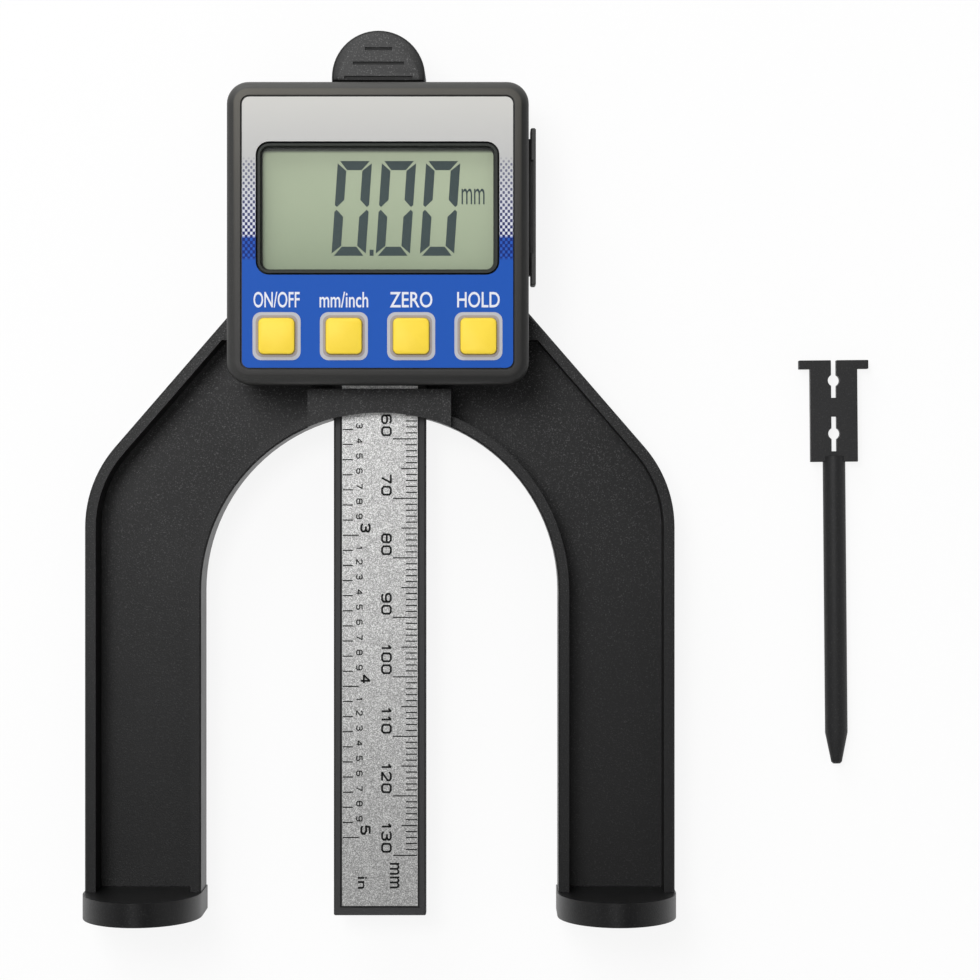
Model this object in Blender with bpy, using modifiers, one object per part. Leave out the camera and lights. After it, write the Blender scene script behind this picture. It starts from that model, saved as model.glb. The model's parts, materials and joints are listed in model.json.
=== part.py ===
"""Self-standing digital height and depth gauge, lying on its flat back beside its loose depth pin.

Metres, +Z up out of the display, +Y from the feet towards the pull tab. The origin is the point of
the flat back face that lies behind the middle of the display unit.
"""

import math

import bmesh
import bpy

# Fits shared by all pieces
SEAT_GAP = 0.0003
SLIDE_GAP = 0.0003
CUT_OVERRUN = 0.002
WELD_DISTANCE = 0.00001
SMALLEST_RADIUS = 0.0001

# Fineness of the round forms
CHORD_DEPTH = 0.000012
SHARP_ANGLE = math.radians(35)
FLAT_ANGLE = math.radians(1)
ROUND_SIDES = 32
HOLE_SIDES = 24
SCREW_SIDES = 20
PEG_SIDES = 16
CELL_SIDES = 48
CASE_EDGE_STEPS = 4
TAB_EDGE_STEPS = 3
BUTTON_EDGE_STEPS = 2
PLAIN_EDGE_STEPS = 1

# Frame: an arch on two legs with raised rims, two feet and a head that carries the display unit
LEG_WIDTH = 0.0195
ARCH_RADIUS = 0.030
ARCH_CENTRE_HEIGHT = 0.0545
SHOULDER_ABOVE_ARCH_CENTRE = 0.0184
SHOULDER_RADIUS = 0.0205
SHOULDER_ANGLE = math.radians(40.9)
HEAD_INSIDE_CASE = 0.0006
HEAD_CORNER_RADIUS = 0.003
HEAD_LEDGE_ABOVE_CASE_BOTTOM = 0.0077
WEB_THICKNESS = 0.0025
RIM_ABOVE_BEAM = 0.0007
RIM_WIDTH = 0.0018
RIM_EDGE_RADIUS = 0.0003
CHANNEL_FLOOR_HEIGHT = 0.006
CHANNEL_WALL = 0.0015
HEAD_POCKET_RADIUS = 0.0015
COLLAR_WIDTH = 0.024
COLLAR_ROOF = 0.0029
COLLAR_BELOW_CASE = 0.0006
FOOT_DEPTH = 0.027
FOOT_THICKNESS = 0.004
FOOT_OVERHANG = 0.0002
MAGNET_RADIUS = 0.006
MAGNET_THICKNESS = 0.0025
MAGNET_RECESS = 0.0002

# Display unit: front case, rear case and the printed faceplate
CASE_WIDTH = 0.0498
CASE_ABOVE_ARCH = 0.0045
CASE_CORNER_RADIUS = 0.0036
CASE_EDGE_RADIUS = 0.0016
CASE_WALL = 0.0016
REAR_CASE_THICKNESS = 0.0012
FRONT_PANEL_THICKNESS = 0.001
FACEPLATE_THICKNESS = 0.0003
FACEPLATE_INSET = 0.0026
FACEPLATE_CORNER_RADIUS = 0.0012
SENSOR_WINDOW_WIDTH = 0.0135
SENSOR_WINDOW_LENGTH = 0.034

# Case screws, driven from the back of the frame into bosses of the front case, clear of the drawer
CASE_SCREW_INSET = 0.0033
CASE_SCREW_FROM_DRAWER = 0.0047
CASE_SCREW_BELOW_TOP = 0.0044
CASE_SCREW_ABOVE_BOTTOM = 0.0134
CASE_SCREW_RADIUS = 0.0008
CASE_SCREW_HEAD_RADIUS = 0.0018
CASE_SCREW_HEAD_HEIGHT = 0.001
CASE_SCREW_REACH = 0.004
CASE_SCREW_TIP = 0.0005
SCREW_HEAD_RECESS = 0.0003
CASE_BOSS_RADIUS = 0.002
FRAME_BOSS_RADIUS = 0.0026

# Display: panel, surround, window and the strip that feeds the panel
DISPLAY_SIDE_MARGIN = 0.00225
UPPER_BAND_HEIGHT = 0.00735
CONTROL_BAND_HEIGHT = 0.0153
DISPLAY_CORNER_RADIUS = 0.0022
SURROUND_BORDER = 0.0004
SURROUND_FLANGE_WIDTH = 0.0009
SURROUND_FLANGE_THICKNESS = 0.0004
SURROUND_BELOW_FACE = 0.0002
WINDOW_THICKNESS = 0.0008
PANEL_GAP_TO_BOSSES = 0.0004
PANEL_TOP_MARGIN = 0.0016
PANEL_BOTTOM_MARGIN = 0.0045
PANEL_THICKNESS = 0.0016
STRIP_END_MARGIN = 0.0022
STRIP_THICKNESS = 0.0016
STRIP_INSET = 0.0004

# Circuit board and what stands on it
BOARD_THICKNESS = 0.0008
CHIP_WIDTH = 0.007
CHIP_THICKNESS = 0.001
CHIP_FROM_CASE_SIDE = 0.006
SWITCH_WIDTH = 0.006
SWITCH_BODY_HEIGHT = 0.0028
SWITCH_PLUNGER_WIDTH = 0.003
SWITCH_PLUNGER_HEIGHT = 0.0007

# Push buttons
BUTTON_NAMES = ("on_off", "unit", "zero", "hold")
BUTTON_ROW_MARGIN = 0.0027
BUTTON_ABOVE_CASE_BOTTOM = 0.0078
BUTTON_WIDTH = 0.0060
BUTTON_CORNER_RADIUS = 0.0009
BUTTON_EDGE_RADIUS = 0.0004
BUTTON_PROUD = 0.0008
BUTTON_FLANGE_MARGIN = 0.00045
BUTTON_FLANGE_THICKNESS = 0.0007
BUTTON_STEM_WIDTH = 0.0026
BUTTON_TRAVEL = 0.0005

# Battery drawer with its coin cell and contacts
CELL_RADIUS = 0.010
CELL_THICKNESS = 0.0032
CELL_RIM_STEP = 0.0008
DRAWER_FLOOR = 0.0006
DRAWER_WALL = 0.001
DRAWER_FACE_END_LIP = 0.0017
DRAWER_FACE_SIDE_LIP = 0.00105
DRAWER_FACE_THICKNESS = 0.0009
DRAWER_FACE_EDGE_RADIUS = 0.0002
DRAWER_SLOT_WIDTH = 0.006
DRAWER_SLOT_LENGTH = 0.0135
FINGER_NOTCH_LENGTH = 0.0154
FINGER_NOTCH_DEPTH = 0.0005
CONTACT_WIDTH = 0.004
CONTACT_METAL = 0.0002
CONTACT_FOOT_LENGTH = 0.003
CONTACT_LEAF_LENGTH = 0.006
CONTACT_LEAF_RISE = 0.0003

# Beam, its graduated plate and the pull tab
BEAM_WIDTH = 0.0155
BEAM_THICKNESS = 0.004
BEAM_EDGE_RADIUS = 0.0003
SCALE_PLATE_SIDE_MARGIN = 0.0014
SCALE_PLATE_END_MARGIN = 0.0016
SCALE_PLATE_THICKNESS = 0.0004
TAB_ABOVE_CASE = 0.0003
TAB_STRAIGHT = 0.0009
TAB_DEPTH = 0.0074
TAB_EDGE_RADIUS = 0.0007
TAB_GROOVE_WIDTH = 0.0005
TAB_GROOVE_DEPTH = 0.0005
TAB_GROOVE_PITCH = 0.00238
TAB_GROOVE_START = 0.0008
TAB_GROOVE_LENGTHS = (0.0113, 0.0085, 0.0045)
TAB_SCREW_ABOVE_CENTRE = 0.0025
TAB_SCREW_RADIUS = 0.0008
TAB_SCREW_HEAD_RADIUS = 0.0016
TAB_SCREW_HEAD_HEIGHT = 0.0009
TAB_SCREW_REACH = 0.0035
TAB_SCREW_TIP = 0.0004

# Guide spring that presses the beam forward in its channel
SPRING_LENGTH = 0.026
SPRING_WIDTH = 0.009
SPRING_METAL = 0.00025
SPRING_BOW = 0.0007
SPRING_RECESS_DEPTH = 0.001
SPRING_STEPS = 10

# Depth pin: a slotted clip head with a cross bar, and a pointed rod
PIN_GAP_FROM_FRAME = 0.0216
PIN_TOP_HEIGHT = 0.0936
PIN_LENGTH = 0.0687
PIN_HEAD_WIDTH = 0.008
PIN_HEAD_LENGTH = 0.0173
PIN_HEAD_WEB_IN_BEAM = 0.0008
PIN_BAR_WIDTH = 0.0118
PIN_BAR_LENGTH = 0.0015
PIN_ROD_RADIUS = 0.00193
PIN_TAPER_LENGTH = 0.0053
PIN_TIP_RADIUS = 0.00092
PIN_TIP_ROUNDING = 0.0003
PIN_TURN = math.radians(0.5)
PIN_ROD_OVERLAP = 0.001
KEYHOLE_RADIUS = 0.00102
KEYHOLE_SLOT_WIDTH = 0.00094
UPPER_KEYHOLE_FROM_TOP = 0.00345
UPPER_SLOT_END_FROM_TOP = 0.0064
LOWER_KEYHOLE_FROM_TOP = 0.0125
LOWER_SLOT_START_FROM_TOP = 0.0096
LOWER_SLOT_END_FROM_TOP = 0.0155
CLIP_PEG_CLEARANCE = 0.00012
CLIP_PEG_ROOT = 0.0004

# Heights above the flat back, stacked piece on piece
BEAM_BACK = CHANNEL_FLOOR_HEIGHT + SLIDE_GAP
BEAM_FRONT = BEAM_BACK + BEAM_THICKNESS
CHANNEL_CEILING = BEAM_FRONT + SLIDE_GAP
COLLAR_FRONT = CHANNEL_CEILING + COLLAR_ROOF
RIM_HEIGHT = BEAM_FRONT + RIM_ABOVE_BEAM
TAB_BACK = BEAM_FRONT + SEAT_GAP
TAB_FRONT = TAB_BACK + TAB_DEPTH
REAR_CASE_BACK = RIM_HEIGHT + SEAT_GAP
REAR_CASE_FRONT = REAR_CASE_BACK + REAR_CASE_THICKNESS
FRONT_CASE_BACK = REAR_CASE_FRONT + SEAT_GAP
BOARD_BACK = REAR_CASE_FRONT + SEAT_GAP
BOARD_FRONT = BOARD_BACK + BOARD_THICKNESS
ON_BOARD = BOARD_FRONT + SEAT_GAP
CELL_BACK = ON_BOARD + DRAWER_FLOOR + SEAT_GAP
CELL_FRONT = CELL_BACK + CELL_THICKNESS
DISPLAY_PANEL_BACK = CELL_FRONT + SEAT_GAP
DISPLAY_PANEL_FRONT = DISPLAY_PANEL_BACK + PANEL_THICKNESS
SURROUND_BACK = DISPLAY_PANEL_FRONT + SEAT_GAP
FRONT_PANEL_BACK = SURROUND_BACK + SURROUND_FLANGE_THICKNESS + SEAT_GAP
PANEL_RECESS_FLOOR = FRONT_PANEL_BACK + FRONT_PANEL_THICKNESS
FACEPLATE_BACK = PANEL_RECESS_FLOOR + SEAT_GAP
FRONT_CASE_FRONT = FACEPLATE_BACK + FACEPLATE_THICKNESS
SURROUND_FRONT = FRONT_CASE_FRONT - SURROUND_BELOW_FACE

# Places along the gauge, above the plane of the feet
DRAWER_END_RADIUS = CELL_RADIUS + SEAT_GAP + DRAWER_WALL
SCREW_FROM_DRAWER_CENTRE = DRAWER_END_RADIUS + CASE_SCREW_FROM_DRAWER
CASE_BOTTOM_HEIGHT = ARCH_CENTRE_HEIGHT + ARCH_RADIUS + CASE_ABOVE_ARCH
DRAWER_HEIGHT = CASE_BOTTOM_HEIGHT + CASE_SCREW_ABOVE_BOTTOM + SCREW_FROM_DRAWER_CENTRE
CASE_TOP_HEIGHT = DRAWER_HEIGHT + SCREW_FROM_DRAWER_CENTRE + CASE_SCREW_BELOW_TOP
CASE_CENTRE_HEIGHT = (CASE_BOTTOM_HEIGHT + CASE_TOP_HEIGHT) / 2
CASE_LENGTH = CASE_TOP_HEIGHT - CASE_BOTTOM_HEIGHT
FRAME_WIDTH = 2 * (ARCH_RADIUS + LEG_WIDTH)
LEG_CENTRE = ARCH_RADIUS + LEG_WIDTH / 2
SHOULDER_HEIGHT = ARCH_CENTRE_HEIGHT + SHOULDER_ABOVE_ARCH_CENTRE
HEAD_WIDTH = CASE_WIDTH - 2 * HEAD_INSIDE_CASE
HEAD_LEDGE_HEIGHT = CASE_BOTTOM_HEIGHT + HEAD_LEDGE_ABOVE_CASE_BOTTOM
HEAD_TOP_HEIGHT = CASE_TOP_HEIGHT - HEAD_INSIDE_CASE
COLLAR_TOP_HEIGHT = CASE_BOTTOM_HEIGHT - COLLAR_BELOW_CASE
CHANNEL_WIDTH = BEAM_WIDTH + 2 * SLIDE_GAP
SCREW_X = CASE_WIDTH / 2 - CASE_SCREW_INSET
SCREW_HEIGHTS = (DRAWER_HEIGHT - SCREW_FROM_DRAWER_CENTRE, DRAWER_HEIGHT + SCREW_FROM_DRAWER_CENTRE)
SCREW_HOLE_RADIUS = CASE_SCREW_RADIUS + SEAT_GAP
FACEPLATE_WIDTH = CASE_WIDTH - 2 * FACEPLATE_INSET
DISPLAY_WIDTH = FACEPLATE_WIDTH - 2 * DISPLAY_SIDE_MARGIN
DISPLAY_BOTTOM = CASE_BOTTOM_HEIGHT + FACEPLATE_INSET + CONTROL_BAND_HEIGHT
DISPLAY_TOP = CASE_TOP_HEIGHT - FACEPLATE_INSET - UPPER_BAND_HEIGHT
PANEL_WIDTH = 2 * (SCREW_X - CASE_BOSS_RADIUS - PANEL_GAP_TO_BOSSES)
BUTTON_HEIGHT = CASE_BOTTOM_HEIGHT + BUTTON_ABOVE_CASE_BOTTOM
BUTTON_ROW_WIDTH = FACEPLATE_WIDTH - 2 * BUTTON_ROW_MARGIN - BUTTON_WIDTH
BUTTON_PITCH = BUTTON_ROW_WIDTH / (len(BUTTON_NAMES) - 1)
CELL_X = CASE_WIDTH / 2 - CASE_WALL - SEAT_GAP - CELL_RADIUS
SCALE_PLATE_WIDTH = BEAM_WIDTH - 2 * SCALE_PLATE_SIDE_MARGIN
TAB_BOTTOM_HEIGHT = CASE_TOP_HEIGHT + TAB_ABOVE_CASE
TAB_CENTRE_HEIGHT = TAB_BOTTOM_HEIGHT + TAB_STRAIGHT
TAB_SCREW_HEIGHT = TAB_CENTRE_HEIGHT + TAB_SCREW_ABOVE_CENTRE
SPRING_HEIGHT = CASE_CENTRE_HEIGHT
PIN_X = FRAME_WIDTH / 2 + PIN_GAP_FROM_FRAME + PIN_BAR_WIDTH / 2
PIN_POCKET_DEPTH = BEAM_THICKNESS - SCALE_PLATE_THICKNESS - SEAT_GAP - PIN_HEAD_WEB_IN_BEAM
PIN_HEAD_THICKNESS = PIN_POCKET_DEPTH - SEAT_GAP


def empty_the_scene():
    for item in list(bpy.data.objects):
        bpy.data.objects.remove(item, do_unlink=True)


def new_collection(name):
    collection = bpy.data.collections.new(name)
    bpy.context.scene.collection.children.link(collection)
    return collection


def new_material(name, colour, roughness, metallic=0.0):
    material = bpy.data.materials.new(name)
    material.use_nodes = True
    shader = material.node_tree.nodes["Principled BSDF"]
    shader.inputs["Base Color"].default_value = (*colour, 1.0)
    shader.inputs["Roughness"].default_value = roughness
    shader.inputs["Metallic"].default_value = metallic
    return material


empty_the_scene()
GAUGE = new_collection("depth_gauge")
CUTTERS = new_collection("cutters")

FRAME_PLASTIC = new_material("black_frame_plastic", (0.030, 0.030, 0.032), 0.55)
CASE_PLASTIC = new_material("charcoal_case_plastic", (0.055, 0.055, 0.052), 0.45)
BEAM_PLASTIC = new_material("black_beam_plastic", (0.022, 0.022, 0.023), 0.40)
MASK_PLASTIC = new_material("black_mask_plastic", (0.010, 0.010, 0.012), 0.35)
BUTTON_RUBBER = new_material("yellow_button_rubber", (0.95, 0.62, 0.05), 0.50)
FACEPLATE_FILM = new_material("blue_faceplate_film", (0.02, 0.09, 0.42), 0.35)
DISPLAY_GLASS = new_material("grey_green_display_glass", (0.42, 0.50, 0.38), 0.20)
CLEAR_ACRYLIC = new_material("clear_window_acrylic", (0.85, 0.88, 0.86), 0.05)
BOARD_LAMINATE = new_material("green_board_laminate", (0.02, 0.16, 0.07), 0.40)
CHIP_EPOXY = new_material("black_chip_epoxy", (0.012, 0.012, 0.012), 0.60)
STRIP_RUBBER = new_material("grey_contact_rubber", (0.30, 0.30, 0.32), 0.70)
SCALE_STEEL = new_material("frosted_scale_steel", (0.55, 0.55, 0.55), 0.45, 0.6)
PLATED_STEEL = new_material("plated_steel", (0.60, 0.60, 0.61), 0.30, 1.0)
SPRING_BRASS = new_material("spring_brass", (0.72, 0.52, 0.22), 0.30, 1.0)
MAGNET_NICKEL = new_material("nickel_magnet", (0.66, 0.65, 0.62), 0.22, 1.0)

DATUM = bpy.data.objects.new("feet_plane_datum", None)
DATUM.location = (0, -CASE_CENTRE_HEIGHT, 0)
GAUGE.objects.link(DATUM)


def place(name, mesh, material=None, location=(0, 0, 0), rotation=(0, 0, 0)):
    """Puts a mesh on the gauge as a named piece, measured from the middle of the feet plane."""
    piece = bpy.data.objects.new(name, mesh)
    piece.parent = DATUM
    piece.location = location
    piece.rotation_euler = rotation
    GAUGE.objects.link(piece)
    if material is not None:
        mesh.materials.clear()
        mesh.materials.append(material)
    return piece


def as_cutter(piece):
    """Moves a shape to the cutters, where it only shapes other pieces."""
    GAUGE.objects.unlink(piece)
    CUTTERS.objects.link(piece)
    piece.hide_render = True
    piece.display_type = "WIRE"
    return piece


def combine(piece, tool, operation):
    modifier = piece.modifiers.new(tool.name, "BOOLEAN")
    modifier.operation = operation
    modifier.solver = "EXACT"
    modifier.object = as_cutter(tool)


def cut(piece, tool):
    combine(piece, tool, "DIFFERENCE")


def join(piece, tool):
    combine(piece, tool, "UNION")


def shade_round(mesh):
    mesh.shade_smooth()
    mesh.set_sharp_from_angle(angle=SHARP_ANGLE)


def arc(centre_x, centre_y, radius, start, end):
    """Points along an arc, its ends and middle included. No chord lies deeper than CHORD_DEPTH."""
    step_angle = 2 * math.acos(max(0, 1 - CHORD_DEPTH / radius))
    steps = 2 * math.ceil(abs(end - start) / step_angle / 2)
    angles = [start + (end - start) * step / steps for step in range(steps + 1)]
    return [(centre_x + radius * math.cos(a), centre_y + radius * math.sin(a)) for a in angles]


def mirrored(points):
    return [(-x, y) for x, y in reversed(points)]


def rounded_rectangle(centre_x, centre_y, width, height, radius):
    radius = max(radius, SMALLEST_RADIUS)
    across = width / 2 - radius
    along = height / 2 - radius
    points = []
    for quarter, (side_x, side_y) in enumerate(((1, 1), (-1, 1), (-1, -1), (1, -1))):
        start = quarter * math.pi / 2
        corner = (centre_x + side_x * across, centre_y + side_y * along)
        points += arc(*corner, radius, start, start + math.pi / 2)
    return points


def plate(name, loops, back, front, material=None):
    """A flat outline, with any holes as further loops, given a thickness from back to front."""
    curve = bpy.data.curves.new(name, "CURVE")
    curve.dimensions = "2D"
    curve.fill_mode = "BOTH"
    curve.extrude = (front - back) / 2
    for loop in loops:
        spline = curve.splines.new("POLY")
        spline.points.add(len(loop) - 1)
        for point, (x, y) in zip(spline.points, loop):
            point.co = (x, y, 0, 1)
        spline.use_cyclic_u = True
    outline = bpy.data.objects.new(name + "_outline", curve)
    GAUGE.objects.link(outline)
    graph = bpy.context.evaluated_depsgraph_get()
    mesh = bpy.data.meshes.new_from_object(outline.evaluated_get(graph))
    mesh.name = name
    bpy.data.objects.remove(outline)
    shape = bmesh.new()
    shape.from_mesh(mesh)
    bmesh.ops.remove_doubles(shape, verts=shape.verts, dist=WELD_DISTANCE)
    bmesh.ops.recalc_face_normals(shape, faces=shape.faces)
    shape.to_mesh(mesh)
    shape.free()
    shade_round(mesh)
    return place(name, mesh, material, location=(0, 0, (back + front) / 2))


def block(name, low, high, material=None):
    """A box between two corners."""
    shape = bmesh.new()
    bmesh.ops.create_cube(shape, size=1)
    size = [top - bottom for bottom, top in zip(low, high)]
    bmesh.ops.scale(shape, vec=size, verts=shape.verts)
    mesh = bpy.data.meshes.new(name)
    shape.to_mesh(mesh)
    shape.free()
    centre = [(bottom + top) / 2 for bottom, top in zip(low, high)]
    return place(name, mesh, material, location=centre)


def cylinder(name, radius, length, centre, material=None, rotation=(0, 0, 0), sides=ROUND_SIDES):
    shape = bmesh.new()
    bmesh.ops.create_cone(shape, cap_ends=True, segments=sides, radius1=radius, radius2=radius, depth=length)
    mesh = bpy.data.meshes.new(name)
    shape.to_mesh(mesh)
    shape.free()
    shade_round(mesh)
    return place(name, mesh, material, location=centre, rotation=rotation)


def turned_mesh(name, profile):
    """The profile of a turned piece, as (radius, height) down its outer side from top to bottom."""
    shape = bmesh.new()
    corners = [shape.verts.new((radius, 0, height)) for radius, height in profile]
    for upper, lower in zip(corners, corners[1:]):
        shape.edges.new((upper, lower))
    mesh = bpy.data.meshes.new(name)
    shape.to_mesh(mesh)
    shape.free()
    return mesh


def turn(piece, sides=HOLE_SIDES):
    modifier = piece.modifiers.new("turned", "SCREW")
    modifier.axis = "Z"
    modifier.steps = sides
    modifier.render_steps = sides
    modifier.use_merge_vertices = True
    modifier.merge_threshold = WELD_DISTANCE
    return piece


def soften_front(piece, radius, steps):
    """Rounds the edge that runs round the front face of a plate."""
    shape = bmesh.new()
    shape.from_mesh(piece.data)
    bmesh.ops.dissolve_limit(shape, angle_limit=FLAT_ANGLE, verts=shape.verts, edges=shape.edges)
    front = max(vert.co.z for vert in shape.verts)
    on_front = {vert for vert in shape.verts if front - vert.co.z < WELD_DISTANCE}
    rim = [
        edge
        for edge in shape.edges
        if on_front.issuperset(edge.verts) and edge.calc_face_angle(0) > SHARP_ANGLE
    ]
    bmesh.ops.bevel(shape, geom=rim, offset=radius, segments=steps, profile=0.5, affect="EDGES")
    shape.to_mesh(piece.data)
    shape.free()
    shade_round(piece.data)
    return piece


def finished_mesh(piece, name):
    """The mesh of a piece with its modifiers in place, for pieces that repeat it."""
    graph = bpy.context.evaluated_depsgraph_get()
    mesh = bpy.data.meshes.new_from_object(piece.evaluated_get(graph))
    mesh.name = name
    mesh.transform(piece.matrix_local)
    tools = [modifier.object for modifier in piece.modifiers if modifier.type == "BOOLEAN"]
    for item in (piece, *tools):
        bpy.data.objects.remove(item)
    return mesh


def leaf(name, profile, width, metal, material, location):
    """A bent strip of sheet metal: a profile in the XZ plane, spread along Y and given its thickness."""
    shape = bmesh.new()
    bends = [shape.verts.new((x, -width / 2, z)) for x, z in profile]
    for first, second in zip(bends, bends[1:]):
        shape.edges.new((first, second))
    spread = bmesh.ops.extrude_edge_only(shape, edges=shape.edges[:])
    moved = [item for item in spread["geom"] if isinstance(item, bmesh.types.BMVert)]
    bmesh.ops.translate(shape, vec=(0, width, 0), verts=moved)
    mesh = bpy.data.meshes.new(name)
    shape.to_mesh(mesh)
    shape.free()
    piece = place(name, mesh, material, location=location)
    sheet = piece.modifiers.new("metal", "SOLIDIFY")
    sheet.thickness = metal
    sheet.offset = 0
    return piece


# Frame


def leg_side(inset, bottom):
    """The right outer edge of the frame, moved in by an inset, from the foot round the shoulder."""
    centre_x = FRAME_WIDTH / 2 - SHOULDER_RADIUS
    centre_y = SHOULDER_HEIGHT - SHOULDER_RADIUS * math.tan(SHOULDER_ANGLE / 2)
    shoulder = arc(centre_x, centre_y, SHOULDER_RADIUS - inset, 0, SHOULDER_ANGLE)
    return [(FRAME_WIDTH / 2 - inset, bottom), *shoulder]


def arch_side(inset, bottom):
    """The inner edge of the frame, from the left leg over the arch to the right leg."""
    radius = ARCH_RADIUS + inset
    over = arc(0, ARCH_CENTRE_HEIGHT, radius, math.pi, 0)
    return [(-radius, bottom), *over, (radius, bottom)]


def frame_outline():
    side = leg_side(0, 0)
    slope_x, slope_y = side[-1]
    head_x = HEAD_WIDTH / 2
    side.append((head_x, slope_y + (slope_x - head_x) / math.tan(SHOULDER_ANGLE)))
    corner_x = head_x - HEAD_CORNER_RADIUS
    corner_y = HEAD_TOP_HEIGHT - HEAD_CORNER_RADIUS
    side += arc(corner_x, corner_y, HEAD_CORNER_RADIUS, 0, math.pi / 2)
    return side + mirrored(side) + arch_side(0, 0)


def pocket_outline():
    side = leg_side(RIM_WIDTH, FOOT_THICKNESS)
    slope_x, slope_y = side[-1]
    rise = HEAD_LEDGE_HEIGHT - slope_y
    side.append((slope_x - rise * math.tan(SHOULDER_ANGLE), HEAD_LEDGE_HEIGHT))
    return side + mirrored(side) + arch_side(RIM_WIDTH, FOOT_THICKNESS)


def collar_outline():
    half = COLLAR_WIDTH / 2
    spread = math.asin(half / ARCH_RADIUS)
    crown = arc(0, ARCH_CENTRE_HEIGHT, ARCH_RADIUS, math.pi / 2 + spread, math.pi / 2 - spread)
    return [*crown, (half, COLLAR_TOP_HEIGHT), (-half, COLLAR_TOP_HEIGHT)]


def make_foot(side):
    """A flat foot with a rounded front, standing square to the leg."""
    half = LEG_WIDTH / 2 + FOOT_OVERHANG
    reach = FOOT_DEPTH - RIM_HEIGHT
    front = [(x, RIM_HEIGHT + y * reach / half) for x, y in arc(0, 0, half, 0, math.pi)]
    foot = plate("foot_shape", [[(-half, 0), (half, 0), *front]], 0, FOOT_THICKNESS)
    foot.rotation_euler = (math.pi / 2, 0, 0)
    foot.location = (side * LEG_CENTRE, FOOT_THICKNESS / 2, 0)
    return foot


def head_pocket(side):
    inner = CHANNEL_WIDTH / 2 + CHANNEL_WALL
    outer = HEAD_WIDTH / 2 - RIM_WIDTH
    bottom = HEAD_LEDGE_HEIGHT + RIM_WIDTH
    top = HEAD_TOP_HEIGHT - RIM_WIDTH
    centre = (side * (inner + outer) / 2, (bottom + top) / 2)
    loop = rounded_rectangle(*centre, outer - inner, top - bottom, HEAD_POCKET_RADIUS)
    return plate("head_pocket", [loop], WEB_THICKNESS, RIM_HEIGHT + CUT_OVERRUN)


def screw_places():
    return [(side * SCREW_X, height) for height in SCREW_HEIGHTS for side in (-1, 1)]


def screw_hole(x, height):
    """A clearance hole with a recess for the screw's head, from the back."""
    head = CASE_SCREW_HEAD_RADIUS + SEAT_GAP
    shank = SCREW_HOLE_RADIUS
    seat = SCREW_HEAD_RECESS + CASE_SCREW_HEAD_HEIGHT + SEAT_GAP
    top = RIM_HEIGHT + CUT_OVERRUN
    below = -CUT_OVERRUN
    profile = [(0, top), (shank, top), (shank, seat), (head, seat), (head, below), (0, below)]
    return turn(place("screw_hole", turned_mesh("screw_hole", profile), location=(x, height, 0)))


def make_frame():
    frame = plate("frame", [frame_outline()], 0, RIM_HEIGHT, FRAME_PLASTIC)
    soften_front(frame, RIM_EDGE_RADIUS, PLAIN_EDGE_STEPS)
    cut(frame, plate("leg_pocket", [pocket_outline()], WEB_THICKNESS, RIM_HEIGHT + CUT_OVERRUN))
    for side in (-1, 1):
        cut(frame, head_pocket(side))
        join(frame, make_foot(side))
    boss_height = (WEB_THICKNESS + RIM_HEIGHT) / 2
    boss_length = RIM_HEIGHT - WEB_THICKNESS + RIM_EDGE_RADIUS
    for x, height in screw_places():
        centre = (x, height, boss_height - RIM_EDGE_RADIUS / 2)
        join(frame, cylinder("frame_boss", FRAME_BOSS_RADIUS, boss_length, centre, sides=HOLE_SIDES))
        cut(frame, screw_hole(x, height))
    join(frame, plate("collar_shape", [collar_outline()], WEB_THICKNESS / 2, COLLAR_FRONT))
    half = CHANNEL_WIDTH / 2
    low = (-half, HEAD_LEDGE_HEIGHT - CUT_OVERRUN, CHANNEL_FLOOR_HEIGHT)
    high = (half, HEAD_TOP_HEIGHT + CUT_OVERRUN, RIM_HEIGHT + CUT_OVERRUN)
    cut(frame, block("beam_channel", low, high))
    low = (-half, ARCH_CENTRE_HEIGHT + ARCH_RADIUS / 2, CHANNEL_FLOOR_HEIGHT)
    high = (half, HEAD_LEDGE_HEIGHT - CUT_OVERRUN / 2, CHANNEL_CEILING)
    cut(frame, block("collar_slot", low, high))
    half_spring = (SPRING_WIDTH / 2 + SEAT_GAP, SPRING_LENGTH / 2 + SEAT_GAP)
    low = (-half_spring[0], SPRING_HEIGHT - half_spring[1], CHANNEL_FLOOR_HEIGHT - SPRING_RECESS_DEPTH)
    high = (half_spring[0], SPRING_HEIGHT + half_spring[1], CHANNEL_FLOOR_HEIGHT + CUT_OVERRUN)
    cut(frame, block("spring_recess", low, high))
    for side in (-1, 1):
        depth = MAGNET_RECESS + MAGNET_THICKNESS + SEAT_GAP
        centre = (side * LEG_CENTRE, (depth - CUT_OVERRUN) / 2, FOOT_DEPTH / 2)
        hole = cylinder("magnet_hole", MAGNET_RADIUS + SEAT_GAP, depth + CUT_OVERRUN, centre)
        hole.rotation_euler = (math.pi / 2, 0, 0)
        cut(frame, hole)


def make_magnets():
    for side, name in ((-1, "left_foot_magnet"), (1, "right_foot_magnet")):
        centre = (side * LEG_CENTRE, MAGNET_RECESS + MAGNET_THICKNESS / 2, FOOT_DEPTH / 2)
        turned = (math.pi / 2, 0, 0)
        cylinder(name, MAGNET_RADIUS, MAGNET_THICKNESS, centre, MAGNET_NICKEL, turned)


def make_guide_spring():
    """A bowed leaf whose crown faces the back of the beam."""
    rest = CHANNEL_FLOOR_HEIGHT - SPRING_RECESS_DEPTH + SEAT_GAP
    profile = []
    for step in range(SPRING_STEPS + 1):
        share = step / SPRING_STEPS
        profile.append(((share - 1 / 2) * SPRING_LENGTH, SPRING_BOW * math.sin(math.pi * share)))
    spring = leaf("guide_spring", profile, SPRING_WIDTH, SPRING_METAL, SPRING_BRASS, (0, SPRING_HEIGHT, rest))
    spring.rotation_euler = (0, 0, math.pi / 2)


# Display unit


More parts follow.
